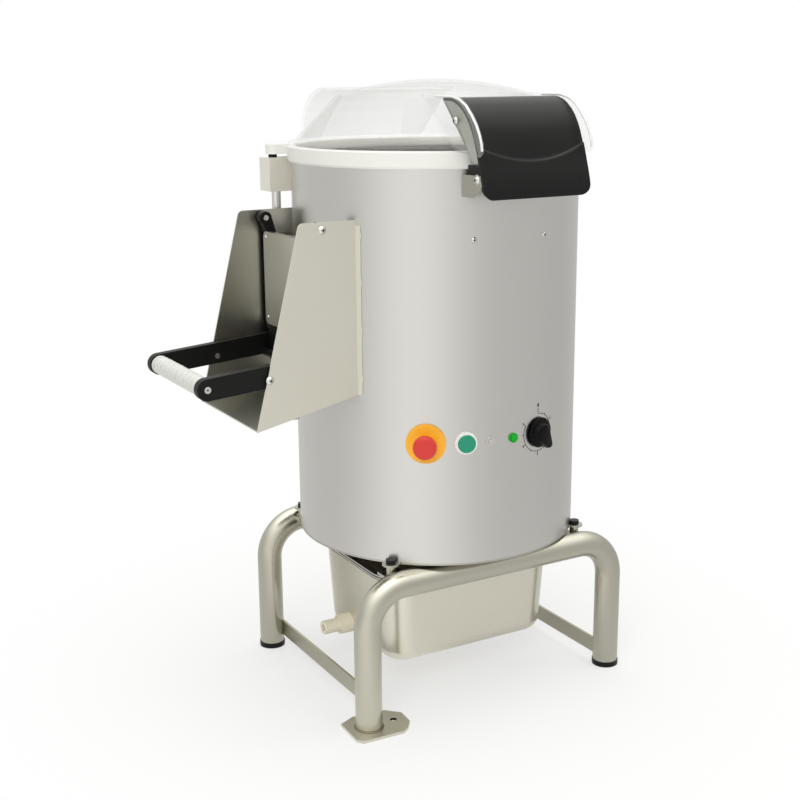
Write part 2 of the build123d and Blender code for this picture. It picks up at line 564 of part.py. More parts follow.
# Lid hinge brackets
brk_pts = front([(28, 806), (-36, 806), (-38, 800), (-32, 787), (-11, 776), (28, 776)])
bs = []
hs = []
for s in (-1, 1):
    b = prism_x(brk_pts, s * BRK_X0, s * (BRK_X0 + BRK_T)) - drum_solid
    b = b - cyl_x(5.0, LID_PY, LID_PZ, s * (BRK_X0 - 1), s * (BRK_X0 + BRK_T + 1))
    bs.append(max(b.solids(), key=lambda q: q.volume))
    washer = cyl_x(7.5, LID_PY, LID_PZ, s * (BRK_X0 + BRK_T), s * (BRK_X0 + BRK_T + 1.2))
    head = screw_x(LID_PY, LID_PZ, s * (BRK_X0 + BRK_T + 1.2), s, 5.6, 3.4, 5.0, 13.0)
    hs.append(washer + head)
out("hinge_brackets", Compound(bs))
out("hinge_pins", Compound(hs))

# Clear lid
def cap_z(r, top):
    ball = (CONE_R1 ** 2 + (LID_TOP - CONE_Z1) ** 2) / (2 * (LID_TOP - CONE_Z1))
    return top - (ball - math.sqrt(ball * ball - r * r))


c45 = LID_T * math.sqrt(0.5)
outer = [(RING_R, LID_Z0), (RING_R, LID_Z0 + FLANGE_T), (CONE_R0, LID_Z0 + FLANGE_T), (CONE_R1, CONE_Z1)]
steps = [0.82, 0.64, 0.46, 0.28, 0.12]
outer_cap = [(CONE_R1 * t, cap_z(CONE_R1 * t, LID_TOP)) for t in steps] + [(0.0, LID_TOP)]
r_in = CONE_R1 - c45
inner_cap = [(0.0, LID_TOP - LID_T)]
inner_cap = inner_cap + [(r_in * t, cap_z(r_in * t, LID_TOP - LID_T)) for t in reversed(steps)]
inner = inner_cap + [(r_in, CONE_Z1 - c45), (CONE_R0 - c45 + (LID_Z0 + FLANGE_T - c45 - LID_Z0), LID_Z0)]
solid_out = lathe(outer + outer_cap + [(0.0, LID_Z0)])
solid_in = lathe(inner + [(0.0, LID_Z0)])
keep_out = lathe([(RING_R, LID_Z0 - 30), (RING_R, LID_Z0 + FLANGE_T), (CONE_R0, LID_Z0 + FLANGE_T),
                  (CONE_R1, CONE_Z1)] + outer_cap + [(0.0, LID_Z0 - 30)])

cheek_pts = front([(100, 905), (100, 911), (23, 911), (4, 907), (-12, 899), (-27, 886), (-38, 874),
                   (-46, 861), (-51, 849), (-52, 838), (-44, 832), (-8, 838), (28, 839)])
lid = solid_out
for s in (-1, 1):
    ck = prism_x(cheek_pts, s * HOOD_W, s * (HOOD_W + CHEEK_T))
    ck = ck - keep_out
    ck = max(ck.solids(), key=lambda q: q.volume)
    lid = lid + ck
bridge = box(-HOOD_W, HOOD_W, -DRUM_R + 50, -DRUM_R + 118, 906, 911) - keep_out
bridge = max(bridge.solids(), key=lambda q: q.volume)
lid = lid + bridge

gb_out = back([(-118, 838), (-118, 918), (-21, 918), (4, 911), (25, 897), (39, 880), (48, 860),
               (52, 838)])
gb_in = back([(-128, 830), (-128, 914), (-22, 914), (2, 907.2), (22.5, 893.8), (35.6, 877.6),
              (44, 859), (47.8, 830)])
gbo = prism_x(gb_out, -GRIPBOX_W, GRIPBOX_W) - keep_out
gbi = prism_x(gb_in, -GRIPBOX_W + LID_T, GRIPBOX_W - LID_T)
gbs = (gbo - gbi)
gbs = max(gbs.solids(), key=lambda q: q.volume)
lid = lid + gbs
lid = lid - solid_in
lug2 = box(LUG[0], -DRUM_R + 33, LUG[1], LUG[2], LID_Z0, LID_Z0 + FLANGE_T)
lug2 = fillet(lug2.edges().filter_by(Axis.Z).group_by(Axis.X)[0], 13)
lug2 = lug2 - cyl(RING_R - 2, RING_Z0, RING_Z1 + 13)
lid = lid + lug2
for s in (-1, 1):
    lid = lid - cyl_x(3.0, LID_SCREW_Y, LID_SCREW_Z, s * (HOOD_W - 1), s * (HOOD_W + CHEEK_T + 1))
out("lid_shell", lid)

# Black hinge block
hood_out = front([(50, 907), (28, 906.5), (15, 903), (4, 897.5), (-10, 886), (-22, 871),
                  (-30, 856), (-37, 839), (-43, 821), (-48, 806), (-52, 791), (-53.5, 781),
                  (-52, 775)])


def offset_line(pts, d):
    res = []
    for i, (y, z) in enumerate(pts):
        y0, z0 = pts[max(i - 1, 0)]
        y1, z1 = pts[min(i + 1, len(pts) - 1)]
        ty, tz = y1 - y0, z1 - z0
        n = math.hypot(ty, tz)
        res.append((y - tz / n * d, z + ty / n * d))
    return res


hood_in = offset_line(hood_out, 4.0)
hood_in[0] = (hood_out[0][0], 902)
hood_in[-1] = (-DRUM_R - 48, 775)
ho = [(-HOOD_W, y, z) for y, z in hood_out]
hi = [(-HOOD_W, y, z) for y, z in hood_in]
skin_face = make_face([Spline(*ho), Line(ho[-1], hi[-1]), Spline(*reversed(hi)), Line(hi[0], ho[0])])
skin = extrude(skin_face, amount=2 * HOOD_W, dir=(1, 0, 0))
HOOD_C = 16.0             # rounding of the lower corners
for s in (-1, 1):
    xc = s * (HOOD_W - HOOD_C)
    corner = box(min(xc, s * 90), max(xc, s * 90), -DRUM_R - 67, -DRUM_R - 37, 770, 775 + HOOD_C)
    skin = skin - (corner - cyl_y(HOOD_C, xc, 775 + HOOD_C, -DRUM_R - 72, -DRUM_R - 32))
hood = skin
d_pts = front([(50, 904), (28, 904), (4, 895), (-10, 884), (-22, 869), (-30, 854), (-37, 837),
               (-41, 823), (-27, 823)])
hub_pts = front([(-44, 816), (4, 819), (4, 806), (-11, 796), (-16, 788), (-25, 786), (-50, 783),
                 (-51, 795), (-48, 806)])
ends = []
for s in (-1, 1):
    end = prism_x(d_pts, s * (HOOD_W - 4), s * HOOD_W) - skin
    end = max(end.solids(), key=lambda q: q.volume)
    ends.append(end - cyl_x(3.0, LID_SCREW_Y, LID_SCREW_Z, s * 60, s * (HOOD_W + 1)))
    hood = hood + prism_x(hub_pts, s * 66, s * (BRK_X0 - GAP))
out("hinge_ends", Compound(ends))
# shallow U shaped grip recess line across the front
u_pts = []
for k in range(0, 13):
    t = -1 + 2 * k / 12
    u_pts.append((t * HOOD_W, 858 - 14 * (1 - t * t)))
for k in range(12):
    (xa, za), (xb, zb) = u_pts[k], u_pts[k + 1]
    ym = -DRUM_R - 29 - (858 - (za + zb) / 2) * 0.42
    tilt = -math.degrees(math.atan2(zb - za, xb - xa))
    cutter = Pos((xa + xb) / 2, ym - 0.9, (za + zb) / 2) * Rot(0, tilt, 0) * Box(math.hypot(xb - xa, zb - za) + 0.6, 4.2, 1.6)
    hood = hood - cutter
for s in (-1, 1):
    hood = hood - cyl_x(5.0 + RUN, LID_PY, LID_PZ, s * 60, s * (BRK_X0 + 1))
    hood = hood - cyl_x(3.0, LID_SCREW_Y, LID_SCREW_Z, s * 60, s * (HOOD_W + 1))
out("hinge_block", hood)
cs = []
for s in (-1, 1):
    cs.append(screw_x(LID_SCREW_Y, LID_SCREW_Z, s * (HOOD_W + CHEEK_T), s, 5.2, 3.0, 3.0, 12.0))
out("lid_screws", Compound(cs))

# Pan
PZ0 = PAN_Z1 - PAN_D
xh, yh = PAN_X / 2 - PAN_RIM, PAN_Y / 2 - PAN_RIM


def drafted(xt, yt, zt, zb, rc, rb, draft):
    top = Plane.XY.offset(zt) * RectangleRounded(2 * xt, 2 * yt, rc)
    low = Plane.XY.offset(zb) * RectangleRounded(2 * (xt - draft), 2 * (yt - draft), rc - 3)
    body = loft([low, top])
    edge = body.faces().sort_by(Axis.Z)[0].edges()
    return fillet(edge, rb)


body_o = drafted(xh, yh, PAN_Z1 - PAN_T, PZ0, 40, 22, 8.5)
body_i = drafted(xh - PAN_T, yh - PAN_T, PAN_Z1 + 1, PZ0 + PAN_T, 39, 21, 8.5)
rim = Plane.XY.offset(PAN_Z1 - PAN_T) * RectangleRounded(PAN_X, PAN_Y, 50)
rim = extrude(rim, amount=PAN_T)
skirt = RectangleRounded(PAN_X, PAN_Y, 50) - RectangleRounded(PAN_X - 3, PAN_Y - 3, 48.5)
skirt = Plane.XY.offset(PAN_Z1 - 6) * skirt
skirt = extrude(skirt, amount=6 - PAN_T)
pan = body_o + rim + skirt - body_i
SP_Y, SP_Z = 30.0, 77.0
pan = pan - cyl_x(7.0, SP_Y, SP_Z, -200, -120)
out("pan", pan)
sp_x = -xh + 8.5 * (PAN_Z1 - SP_Z) / PAN_D
spigot = cyl_x(16.0, SP_Y, SP_Z, sp_x - 20, sp_x + 2) - body_o
spigot = max(spigot.solids(), key=lambda q: q.volume)
spigot = spigot + cyl_x(11.0, SP_Y, SP_Z, sp_x - 48, sp_x - 20)
spigot = spigot + cyl_x(7.0, SP_Y, SP_Z, sp_x - 20, sp_x + 8)
spigot = spigot - cyl_x(5.5, SP_Y, SP_Z, sp_x - 50, sp_x + 12)
out("pan_spigot", spigot)

# Controls
def hug(shape):
    return shape - drum_solid


stop_base = hug(wall(AZ_STOP, CTRL_Z, -4, 3.5, 29.0)) + wall(AZ_STOP, CTRL_Z, -43, 3.5, 11.2)
stop_base = stop_base + wall(AZ_STOP, CTRL_Z, 3.5, 9.5, 13.0)
stop_base = stop_base - wall(AZ_STOP, CTRL_Z, -3, 22, 8.0 + RUN)
stop_base = stop_base + wall(AZ_STOP, CTRL_Z, -48, -13, 18.0)
out("stop_base", stop_base)
mush = wall(AZ_STOP, CTRL_Z, 14, 30, 17.0)
mush = fillet(mush.edges().filter_by(GeomType.CIRCLE), 5)
mush = mush + wall(AZ_STOP, CTRL_Z, 4, 15, 8.0)
out("stop_button", mush)

start_base = hug(wall(AZ_START, CTRL_Z, -4, 4, 16.5)) + wall(AZ_START, CTRL_Z, -43, 4, 11.2)
start_base = start_base + wall(AZ_START, CTRL_Z, 4, 7, 15.5)
start_base = start_base - wall(AZ_START, CTRL_Z, -2, 22, 13.0 + RUN)
start_base = start_base + wall(AZ_START, CTRL_Z, -48, -13, 15.0)
out("start_base", start_base)
cap = wall(AZ_START, CTRL_Z, 3.4, 9.4, 13.0)
cap = fillet(cap.edges().filter_by(GeomType.CIRCLE), 1.2)
out("start_button", cap)

reset_base = hug(wall(AZ_RESET, CTRL_Z, -4, 3, 6.8)) + wall(AZ_RESET, CTRL_Z, -28, 3, 5.2)
reset_base = reset_base - wall(AZ_RESET, CTRL_Z, -2, 22, 3.6 + RUN)
out("reset_base", reset_base)
pin = wall(AZ_RESET, CTRL_Z, 0, 8, 3.6)
out("reset_button", pin)

lamp = hug(wall(AZ_LAMP, CTRL_Z, -4, 2.5, 7.2)) + wall(AZ_LAMP, CTRL_Z, -28, 2.5, 5.6)
lamp = lamp - wall(AZ_LAMP, CTRL_Z, 1, 22, 5.5)
out("lamp_base", lamp)
lens = wall(AZ_LAMP, CTRL_Z, 1, 5.5, 5.5)
lens = fillet(lens.edges().filter_by(GeomType.CIRCLE), 1.2)
out("lamp_lens", lens)

timer_base = wall(AZ_TIMER, CTRL_Z, -22, 2, 6.2)
timer_base = timer_base + wall(AZ_TIMER, CTRL_Z, -50, -12, 24.0)
timer_base = timer_base - wall(AZ_TIMER, CTRL_Z, -18, 22, 4.0 + RUN)
out("timer_base", timer_base)
ux, uy = unit(AZ_TIMER)
knob_plane = Plane(origin=(ux * (DRUM_R + 2 + GAP), uy * (DRUM_R + 2 + GAP), CTRL_Z), x_dir=(-uy, ux, 0),
                   z_dir=(ux, uy, 0))
KNOB_R = 19.0
KNOB_TIP = 26.0           # reach of the pointer
phi = math.acos(KNOB_R / KNOB_TIP)
kx, ky = KNOB_R * math.cos(phi), KNOB_R * math.sin(phi)
beak = Polyline((0, ky, 0), (kx, ky, 0), (KNOB_TIP - 1.5, 2, 0), (KNOB_TIP - 1.5, -2, 0),
                (kx, -ky, 0), (0, -ky, 0), close=True)
drop = Circle(KNOB_R) + make_face(beak)
dial = extrude(drop, amount=14, dir=(0, 0, 1))
dial = fillet(dial.edges().group_by(Axis.Z)[-1], 2.5)
ridge = fillet((Pos(4, 0, 15) * Box(32, 9, 8)).edges().filter_by(Axis.Z), 3)
dial = knob_plane * Rot(0, 0, -45) * (dial + ridge)
dial = dial + wall(AZ_TIMER, CTRL_Z, -14, 8, 4.0)
out("timer_knob", dial)

small = []
for az in SCREW_AZ:
    ux, uy = unit(az)
    pl = Plane(origin=(ux * (DRUM_R - 0.2), uy * (DRUM_R - 0.2), SCREW_Z), x_dir=(-uy, ux, 0),
               z_dir=(ux, uy, 0))
    head = hug(pl * dome_head(4.0, 2.4))
    small.append(head + radial(az, SCREW_Z, CHAMBER_R - LINER_T, DRUM_R + 0.5, 2.0))
out("casing_screws", Compound(small))
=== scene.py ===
# Looks of the potato peeling machine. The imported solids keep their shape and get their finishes
# here. The hood, the grip sleeve and the timer knob are dressed with finer meshes, small marks,
# weld beads and thin trim are added, and the studio light and the camera are set up as in the
# photograph.
import math

import bmesh
import bpy
from mathutils import Matrix, Vector


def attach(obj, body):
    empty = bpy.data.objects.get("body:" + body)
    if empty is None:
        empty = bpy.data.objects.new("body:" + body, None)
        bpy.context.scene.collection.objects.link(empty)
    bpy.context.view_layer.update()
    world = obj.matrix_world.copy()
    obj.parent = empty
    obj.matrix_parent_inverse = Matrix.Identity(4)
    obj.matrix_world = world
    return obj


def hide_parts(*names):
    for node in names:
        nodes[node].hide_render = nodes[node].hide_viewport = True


MM = 0.001
UP = Vector((0, 0, 1))

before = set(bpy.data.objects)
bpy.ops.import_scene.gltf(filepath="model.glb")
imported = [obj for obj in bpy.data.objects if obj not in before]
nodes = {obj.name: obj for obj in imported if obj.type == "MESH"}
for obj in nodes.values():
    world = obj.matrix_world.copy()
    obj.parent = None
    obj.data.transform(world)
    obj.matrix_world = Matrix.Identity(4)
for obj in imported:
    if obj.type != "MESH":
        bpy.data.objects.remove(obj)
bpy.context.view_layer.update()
scene = bpy.context.scene

# What the finishes share
RELIEF = 0.3              # how much of a pattern's relief shows
STEEL_EDGE = 0.5          # mm, rounding of a broken steel edge
CLOUD_MM = 110.0          # size of the slow clouds that a hand leaves in brushing
CLOUD_SHARE = 0.35        # how much the clouds add to the strokes
BRUSH_LOW, BRUSH_HIGH = 0.40, 0.95      # range of strokes and clouds together
GRAIN_LOW, GRAIN_HIGH = 0.3, 0.7        # range of a moulding's grain
GRAIN_SPREAD = 0.03       # how much that grain varies the roughness, either way


# Colour and shader helpers
def linear(hex_colour):
    # sRGB hex to linear red, green, blue, alpha
    parts = [int(hex_colour[i:i + 2], 16) / 255 for i in (1, 3, 5)]
    out = [c / 12.92 if c <= 0.04045 else ((c + 0.055) / 1.055) ** 2.4 for c in parts]
    return (*out, 1.0)


def shade_of(hex_colour, factor):
    # the same hue, a little lighter or darker
    red, green, blue, alpha = linear(hex_colour)
    return (red * factor, green * factor, blue * factor, alpha)


def add(tree, kind, settings=None, inputs=None, links=None):
    # one shader node with its settings, its input values and the sockets that feed it
    node = tree.nodes.new(kind)
    for key, value in (settings or {}).items():
        setattr(node, key, value)
    for key, value in (inputs or {}).items():
        node.inputs[key].default_value = value
    for key, socket in (links or {}).items():
        tree.links.new(socket, node.inputs[key])
    return node


def new_material(name, **sockets):
    mat = bpy.data.materials.new(name)
    mat.use_nodes = True
    shader = mat.node_tree.nodes["Principled BSDF"]
    for key, value in sockets.items():
        shader.inputs[key.replace("_", " ")].default_value = value
    return mat, mat.node_tree, shader


def relief(tree, shader, height, strength, depth_mm, edge_mm):
    # fine relief from a height pattern, and edges rounded by edge_mm so that they catch the light
    soft_edge = add(tree, "ShaderNodeBevel", {"samples": 4}, {"Radius": edge_mm * MM})
    bump = add(tree, "ShaderNodeBump", inputs={"Strength": strength, "Distance": depth_mm * MM},
               links={"Height": height, "Normal": soft_edge.outputs["Normal"]})
    tree.links.new(bump.outputs["Normal"], shader.inputs["Normal"])


def brushed(name, colour, roughness, stroke_mm, run_mm, along, depth_mm=0.012, spread=0.05):
    # ground or brushed stainless: parallel scratches stroke_mm apart that run run_mm along the
    # named axes; they vary gloss and tone a little, and a slow cloud varies them from hand to hand
    mat, tree, shader = new_material(name, Metallic=1.0, Roughness=roughness)
    place = add(tree, "ShaderNodeTexCoord")
    scale = [1.0 / ((run_mm if axis in along else stroke_mm) * MM) for axis in "xyz"]
    mapping = add(tree, "ShaderNodeMapping", inputs={"Scale": scale},
                  links={"Vector": place.outputs["Object"]})
    streak = add(tree, "ShaderNodeTexNoise", inputs={"Scale": 1.0, "Detail": 4.0, "Roughness": 0.6},
                 links={"Vector": mapping.outputs["Vector"]})
    cloud = add(tree, "ShaderNodeTexNoise", inputs={"Scale": 1.0 / (CLOUD_MM * MM), "Detail": 2.0},
                links={"Vector": place.outputs["Object"]})
    mix = add(tree, "ShaderNodeMath", {"operation": "MULTIPLY_ADD"}, {1: CLOUD_SHARE},
              {0: cloud.outputs["Fac"], 2: streak.outputs["Fac"]})
    gloss = add(tree, "ShaderNodeMapRange",
                inputs={"From Min": BRUSH_LOW, "From Max": BRUSH_HIGH,
                        "To Min": roughness - spread, "To Max": roughness + spread},
                links={"Value": mix.outputs[0]})
    tone = add(tree, "ShaderNodeMix", {"data_type": "RGBA"}, links={"Factor": mix.outputs[0]})
    tone.inputs["A"].default_value = shade_of(colour, 1 - spread)
    tone.inputs["B"].default_value = shade_of(colour, 1 + spread)
    tree.links.new(gloss.outputs["Result"], shader.inputs["Roughness"])
    tree.links.new(tone.outputs["Result"], shader.inputs["Base Color"])
    relief(tree, shader, streak.outputs["Fac"], RELIEF, depth_mm, STEEL_EDGE)
    return mat


def moulded(name, colour, roughness, grain_mm, depth_mm, ior=1.49, shine=0.5, edge_mm=0.8):
    # moulded or machined plastic: even colour with the fine grain of the tool; shine under 0.5 is
    # for the matt black grades, whose grain swallows most of the reflected room
    mat, tree, shader = new_material(name, Base_Color=linear(colour), Roughness=roughness, IOR=ior,
                                     Specular_IOR_Level=shine)
    place = add(tree, "ShaderNodeTexCoord")
    grain = add(tree, "ShaderNodeTexNoise", inputs={"Scale": 1.0 / (grain_mm * MM), "Detail": 2.0},
                links={"Vector": place.outputs["Object"]})
    blotch = add(tree, "ShaderNodeMapRange",
                 inputs={"From Min": GRAIN_LOW, "From Max": GRAIN_HIGH,
                         "To Min": roughness - GRAIN_SPREAD, "To Max": roughness + GRAIN_SPREAD},
                 links={"Value": grain.outputs["Fac"]})
    tree.links.new(blotch.outputs["Result"], shader.inputs["Roughness"])
    relief(tree, shader, grain.outputs["Fac"], RELIEF, depth_mm, edge_mm)
    return mat


# Brushed 304 stainless casing, grain round the drum: neutral grey, soft upright bands of light.
casing_steel = brushed("brushed_stainless_casing", "#CDCCC9", 0.30, 0.8, 90, "xy", 0.003, 0.025)
# Outer chute plate, sheet rubbed with an abrasive pad: pale, even, slightly warm.
pale_sheet = brushed("satin_stainless_sheet", "#E1DFD3", 0.40, 1.0, 40, "x", 0.004, 0.03)
# Inner faces of the chute: the same sheet, painted greyer as painted shade since it lies in its own shade,
# and a little glossier.
chute_sheet = brushed("brushed_stainless_chute", "#BFBEB5", 0.30, 0.9, 45, "z", 0.004, 0.03)
# Stand tube, welded and then finished by hand: satin, warm, with blurred upright highlights.
tube_steel = brushed("satin_stainless_tube", "#BBB9AC", 0.26, 0.7, 30, "xz", 0.001, 0.015)
# Flat stretcher bars, hot rolled and pickled: duller and darker than the tubes.
bar_steel = brushed("pickled_stainless_bar", "#B2B0A1", 0.42, 1.2, 20, "y", 0.008)
# Foot plate, laser cut and pickled: pale, matt, faint mill lines.
plate_steel = brushed("pickled_stainless_plate", "#CBC9BB", 0.40, 1.2, 24, "x", 0.006, 0.03)
# Deep drawn gastronorm pan, bright annealed: smooth, with soft clouds instead of strokes.
pan_steel = brushed("drawn_stainless_pan", "#DBD8CC", 0.30, 9.0, 14, "z", 0.0003, 0.015)
# Electropolished screws and small turned parts: bright, crisp highlights.
bright_steel = brushed("bright_turned_steel", "#D2D1CD", 0.18, 0.6, 4, "z", 0.006, 0.03)
# Weld beads, brushed after welding: darker and rougher than the sheet.
weld_steel = brushed("brushed_weld_bead", "#857B6B", 0.45, 1.0, 2, "z", 0.08)
# Switch box under the ring, bead blasted: the softest of the steels, and the palest, painted lighter as
# painted light because its faces lie dim.
box_steel = brushed("blasted_stainless_box", "#F2F0E6", 0.46, 1.0, 4, "x", 0.003, 0.03)
# Cast aluminium of gearbox and disc: matt grey, with the even pebble of the mould.
cast_aluminium = brushed("cast_aluminium", "#B3B3B1", 0.48, 1.5, 1.5, "z", 0.05)
# Spun collar in the rim ring: bright satin, painted paler than the other steels as painted light, so that it
# stays pale in the shade of the lid.
collar_steel = brushed("spun_stainless_collar", "#F3F1E9", 0.50, 1.0, 40, "xy", 0.002, 0.03)
# Painted shade of the pan's rim: dull dark steel for the shade in the groove between its rolled edges and
# under the lower edge.
groove_steel = brushed("pan_rim_painted_shade", "#5F5B50", 0.55, 1.0, 10, "x", 0.002, 0.03)
# Mill finish steel inside the casing and behind the door: greyish, flat, with long soft strokes.
inner_steel = brushed("mill_finish_inner_steel", "#B9B7AE", 0.40, 2.0, 8, "z", 0.01)

# Mass coloured ABS hood and caps, fine moulding grain, low sheen.
black_abs = moulded("black_moulded_abs", "#0B0B0B", 0.34, 0.5, 0.01, shine=0.26)
# Knob in glossy black phenolic: deepest black, small highlights.
black_knob = moulded("black_phenolic_knob", "#060606", 0.28, 0.4, 0.01, 1.6, shine=0.08)
# Machined black high density polyethylene of door and lever arms: duller, faint cutter marks.
black_hdpe = moulded("black_machined_hdpe", "#0B0B0B", 0.46, 0.8, 0.03, 1.54, shine=0.2)
# Grey moulded end plates of the hood: warm mid grey, soft sheen.
grey_ends = moulded("grey_moulded_end_plates", "#A3A49C", 0.42, 0.5, 0.02)
# Grey moulded electrics box: cooler, darker and flatter than the end plates.
grey_abs = moulded("grey_moulded_box", "#767879", 0.5, 0.6, 0.03)
# White high density polyethylene rim ring: soft satin, not chalky.
white_hdpe = moulded("white_machined_ring", "#EAEAE4", 0.40, 0.8, 0.02, 1.54)
# Flame polished edge of the lid's cheeks: an opaque near white bead, painted light that the clear sheet
# gathers in its edge.
sheet_edge = moulded("polished_edge_painted_light", "#F3F4F1", 0.2, 0.8, 0.0, 1.585)
# White vinyl sleeve on the lever rod: off white, soft, with blurred highlights on its rings.
white_sleeve = moulded("white_vinyl_sleeve", "#D9DAD5", 0.42, 0.8, 0.03, 1.53)
# Natural nylon drain spigot: cream, with a waxy sheen.
cream_nylon = moulded("cream_moulded_nylon", "#E9E3CD", 0.45, 0.8, 0.02, 1.53)
# Amber moulded disc behind the stop button: strong yellow, even and smooth.
amber_plate = moulded("amber_moulded_disc", "#F9B62A", 0.42, 0.6, 0.01)
# Mass coloured button caps, moulded in polished tools: clear colour with a small bright highlight.
red_cap = moulded("red_moulded_cap", "#D3302A", 0.30, 0.6, 0.01)
green_cap = moulded("green_moulded_cap", "#12906F", 0.30, 0.6, 0.01)
# Bezel of the start button: clean white, a little glossier than the ring.
white_bezel = moulded("white_moulded_bezel", "#F0F0EE", 0.35, 0.6, 0.01)
# Lamp lens, moulded in tinted plastic: saturated green, smooth.
green_lens = moulded("green_lamp_lens", "#02A822", 0.25, 0.6, 0.005, shine=0.3)
# Stove enamel on the motor: dark blue grey with the soft orange peel of a dipped coat.
motor_paint = moulded("grey_stove_enamel", "#3C4348", 0.40, 1.5, 0.03)
# Screen printed ink: flat near black, without relief.
ink = moulded("black_screen_print", "#31312F", 0.6, 0.3, 0.0, shine=0.2)
# Steel in deep shade, inside screw recesses and the anchor hole: a flat dark brown grey.
recess = moulded("shaded_screw_recess", "#1B1A18", 0.7, 0.3, 0.0, shine=0.1)

# Silicon carbide grit in resin, 1 to 2 mm grains: mid grey, rough, tiny glints.
GRIT_MM = 1.8
grit_coat, tree, shader = new_material("silicon_carbide_grit", Roughness=0.75)
place = add(tree, "ShaderNodeTexCoord")
grains = add(tree, "ShaderNodeTexVoronoi", inputs={"Scale": 1.0 / (GRIT_MM * MM)},
             links={"Vector": place.outputs["Object"]})
ramp = add(tree, "ShaderNodeMix", {"data_type": "RGBA"}, links={"Factor": grains.outputs["Distance"]})
ramp.inputs["A"].default_value = linear("#8A877F")
ramp.inputs["B"].default_value = linear("#4A4844")
tree.links.new(ramp.outputs["Result"], shader.inputs["Base Color"])
relief(tree, shader, grains.outputs["Distance"], 0.9, 0.7, STEEL_EDGE)

# Vacuum formed clear polycarbonate lid, 4 mm, seen through: thin milky veil face on, whiter where
# the sheet is seen edge on, with a soft gloss.
VEIL_FACE_ON, VEIL_EDGE_ON = 0.022, 0.30
clear_pc, tree, shader = new_material("clear_formed_polycarbonate", Base_Color=linear("#F1F2EE"),
                                      Roughness=0.10, IOR=1.585)
edge_on = add(tree, "ShaderNodeLayerWeight", inputs={"Blend": 0.35})
veil = add(tree, "ShaderNodeMapRange",
           inputs={"From Min": 0.0, "From Max": 1.0, "To Min": VEIL_FACE_ON, "To Max": VEIL_EDGE_ON},
           links={"Value": edge_on.outputs["Facing"]})
tree.links.new(veil.outputs["Result"], shader.inputs["Alpha"])

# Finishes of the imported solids
finishes = {
    casing_steel: ["drum_wall", "drive_housing"],
    pale_sheet: ["chute_plate_near"],
    box_steel: ["switch_box"],
    chute_sheet: ["chute_plate_far", "chute_floor", "door_panel", "hinge_brackets"],
    tube_steel: ["front_frame", "rear_frame", "drum_posts", "pan_rails"],
    bar_steel: ["side_bars"],
    plate_steel: ["foot_plate"],
    pan_steel: ["pan"],
    inner_steel: ["drum_base", "chamber_floor", "waste_pipe", "outlet_frame"],
    bright_steel: ["casing_screws", "door_screws", "lever_screws", "lid_screws", "pivot_screws",
                   "hinge_pins", "conduit_clip", "switch_conduit", "water_inlet", "reset_base",
                   "reset_button", "drive_shaft"],
    cast_aluminium: ["disc_plate", "gearbox"],
    motor_paint: ["motor"],
    black_abs: ["hinge_block", "foot_caps", "post_nuts", "switch_screw", "timer_base", "shaft_seal",
                "cable_gland", "motor_fan_cover"],
    black_knob: ["timer_knob"],
    black_hdpe: ["door_body", "lever_arms", "disc_nut"],
    grey_abs: ["electrics_box"],
    grey_ends: ["hinge_ends"],
    white_hdpe: ["rim_ring"],
    white_sleeve: ["lever_grip"],
    cream_nylon: ["pan_spigot"],
    amber_plate: ["stop_base"],
    red_cap: ["stop_button"],
    white_bezel: ["start_base"],
    green_cap: ["start_button"],
    green_lens: ["lamp_lens", "lamp_base"],
    grit_coat: ["abrasive_liner", "disc_grit"],
    clear_pc: ["lid_shell"],
}
for finish, names in finishes.items():
    for name in names:
        data = nodes[name].data
        data.materials.clear()
        data.materials.append(finish)


# Mesh helpers, all in millimetres
def piece(name, verts, faces, finish, body, slot, sharp=38):
    # a mesh piece that rides on a body; faces meeting at more than sharp degrees keep their edge
    mesh = bpy.data.meshes.new(name)
    mesh.from_pydata([(x * MM, y * MM, z * MM) for x, y, z in verts], [], faces)
    form = bmesh.new()
    form.from_mesh(mesh)
    bmesh.ops.recalc_face_normals(form, faces=form.faces)
    for face in form.faces:
        face.smooth = True
    form.to_mesh(mesh)
    form.free()
    mesh.set_sharp_from_angle(angle=math.radians(sharp))
    obj = bpy.data.objects.new(name, mesh)
    scene.collection.objects.link(obj)
    mesh.materials.append(finish)
    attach(obj, body)
    return obj


def turns(count):
    # angles of count equal steps round a circle
    return [2 * math.pi * k / count for k in range(count)]


def skinned(rings, closed=False):
    # a surface through rings of equally many points, capped at both ends unless it closes on itself
    n = len(rings[0])
    verts = [p for ring in rings for p in ring]
    faces = []
    last = len(rings) if closed else len(rings) - 1
    for i in range(last):
        a, b = i * n, (i + 1) % len(rings) * n
        faces += [(a + k, a + (k + 1) % n, b + (k + 1) % n, b + k) for k in range(n)]
    if not closed:
        faces += [tuple(range(n)), tuple((len(rings) - 1) * n + k for k in range(n))]
    return verts, faces


def turned(profile, count, x=0.0, y=0.0):
    # a closed profile of radius and height, turned round an upright axis at x, y
    rings = [[(x + r * math.cos(a), y + r * math.sin(a), z) for r, z in profile] for a in turns(count)]
    return skinned(rings, closed=True)


def joined(*solids):
    verts, faces = [], []
    for more_verts, more_faces in solids:
        base = len(verts)
        verts += more_verts
        faces += [tuple(base + k for k in face) for face in more_faces]
    return verts, faces


def bead(points, radius, closed=False, sides=10):
    # a round bead along a row of points
    rows = [Vector(p) for p in points]
    rings = []
    for i, here in enumerate(rows):
        before = rows[i - 1] if i or closed else here
        after = rows[(i + 1) % len(rows)] if i < len(rows) - 1 or closed else here
        along = (after - before).normalized()
        upright = abs(along.z) > 0.99
        side = (along.orthogonal() if upright else along.cross(UP)).normalized()
        lift = along.cross(side)
        rings.append([tuple(here + radius * (math.cos(t) * side + math.sin(t) * lift))
                      for t in turns(sides)])
    return skinned(rings, closed)


def facing(azimuth):
    # outward and sideways unit vectors on the casing, azimuth from -Y toward +X
    a = math.radians(azimuth)
    return Vector((math.sin(a), -math.cos(a), 0)), Vector((math.cos(a), math.sin(a), 0))


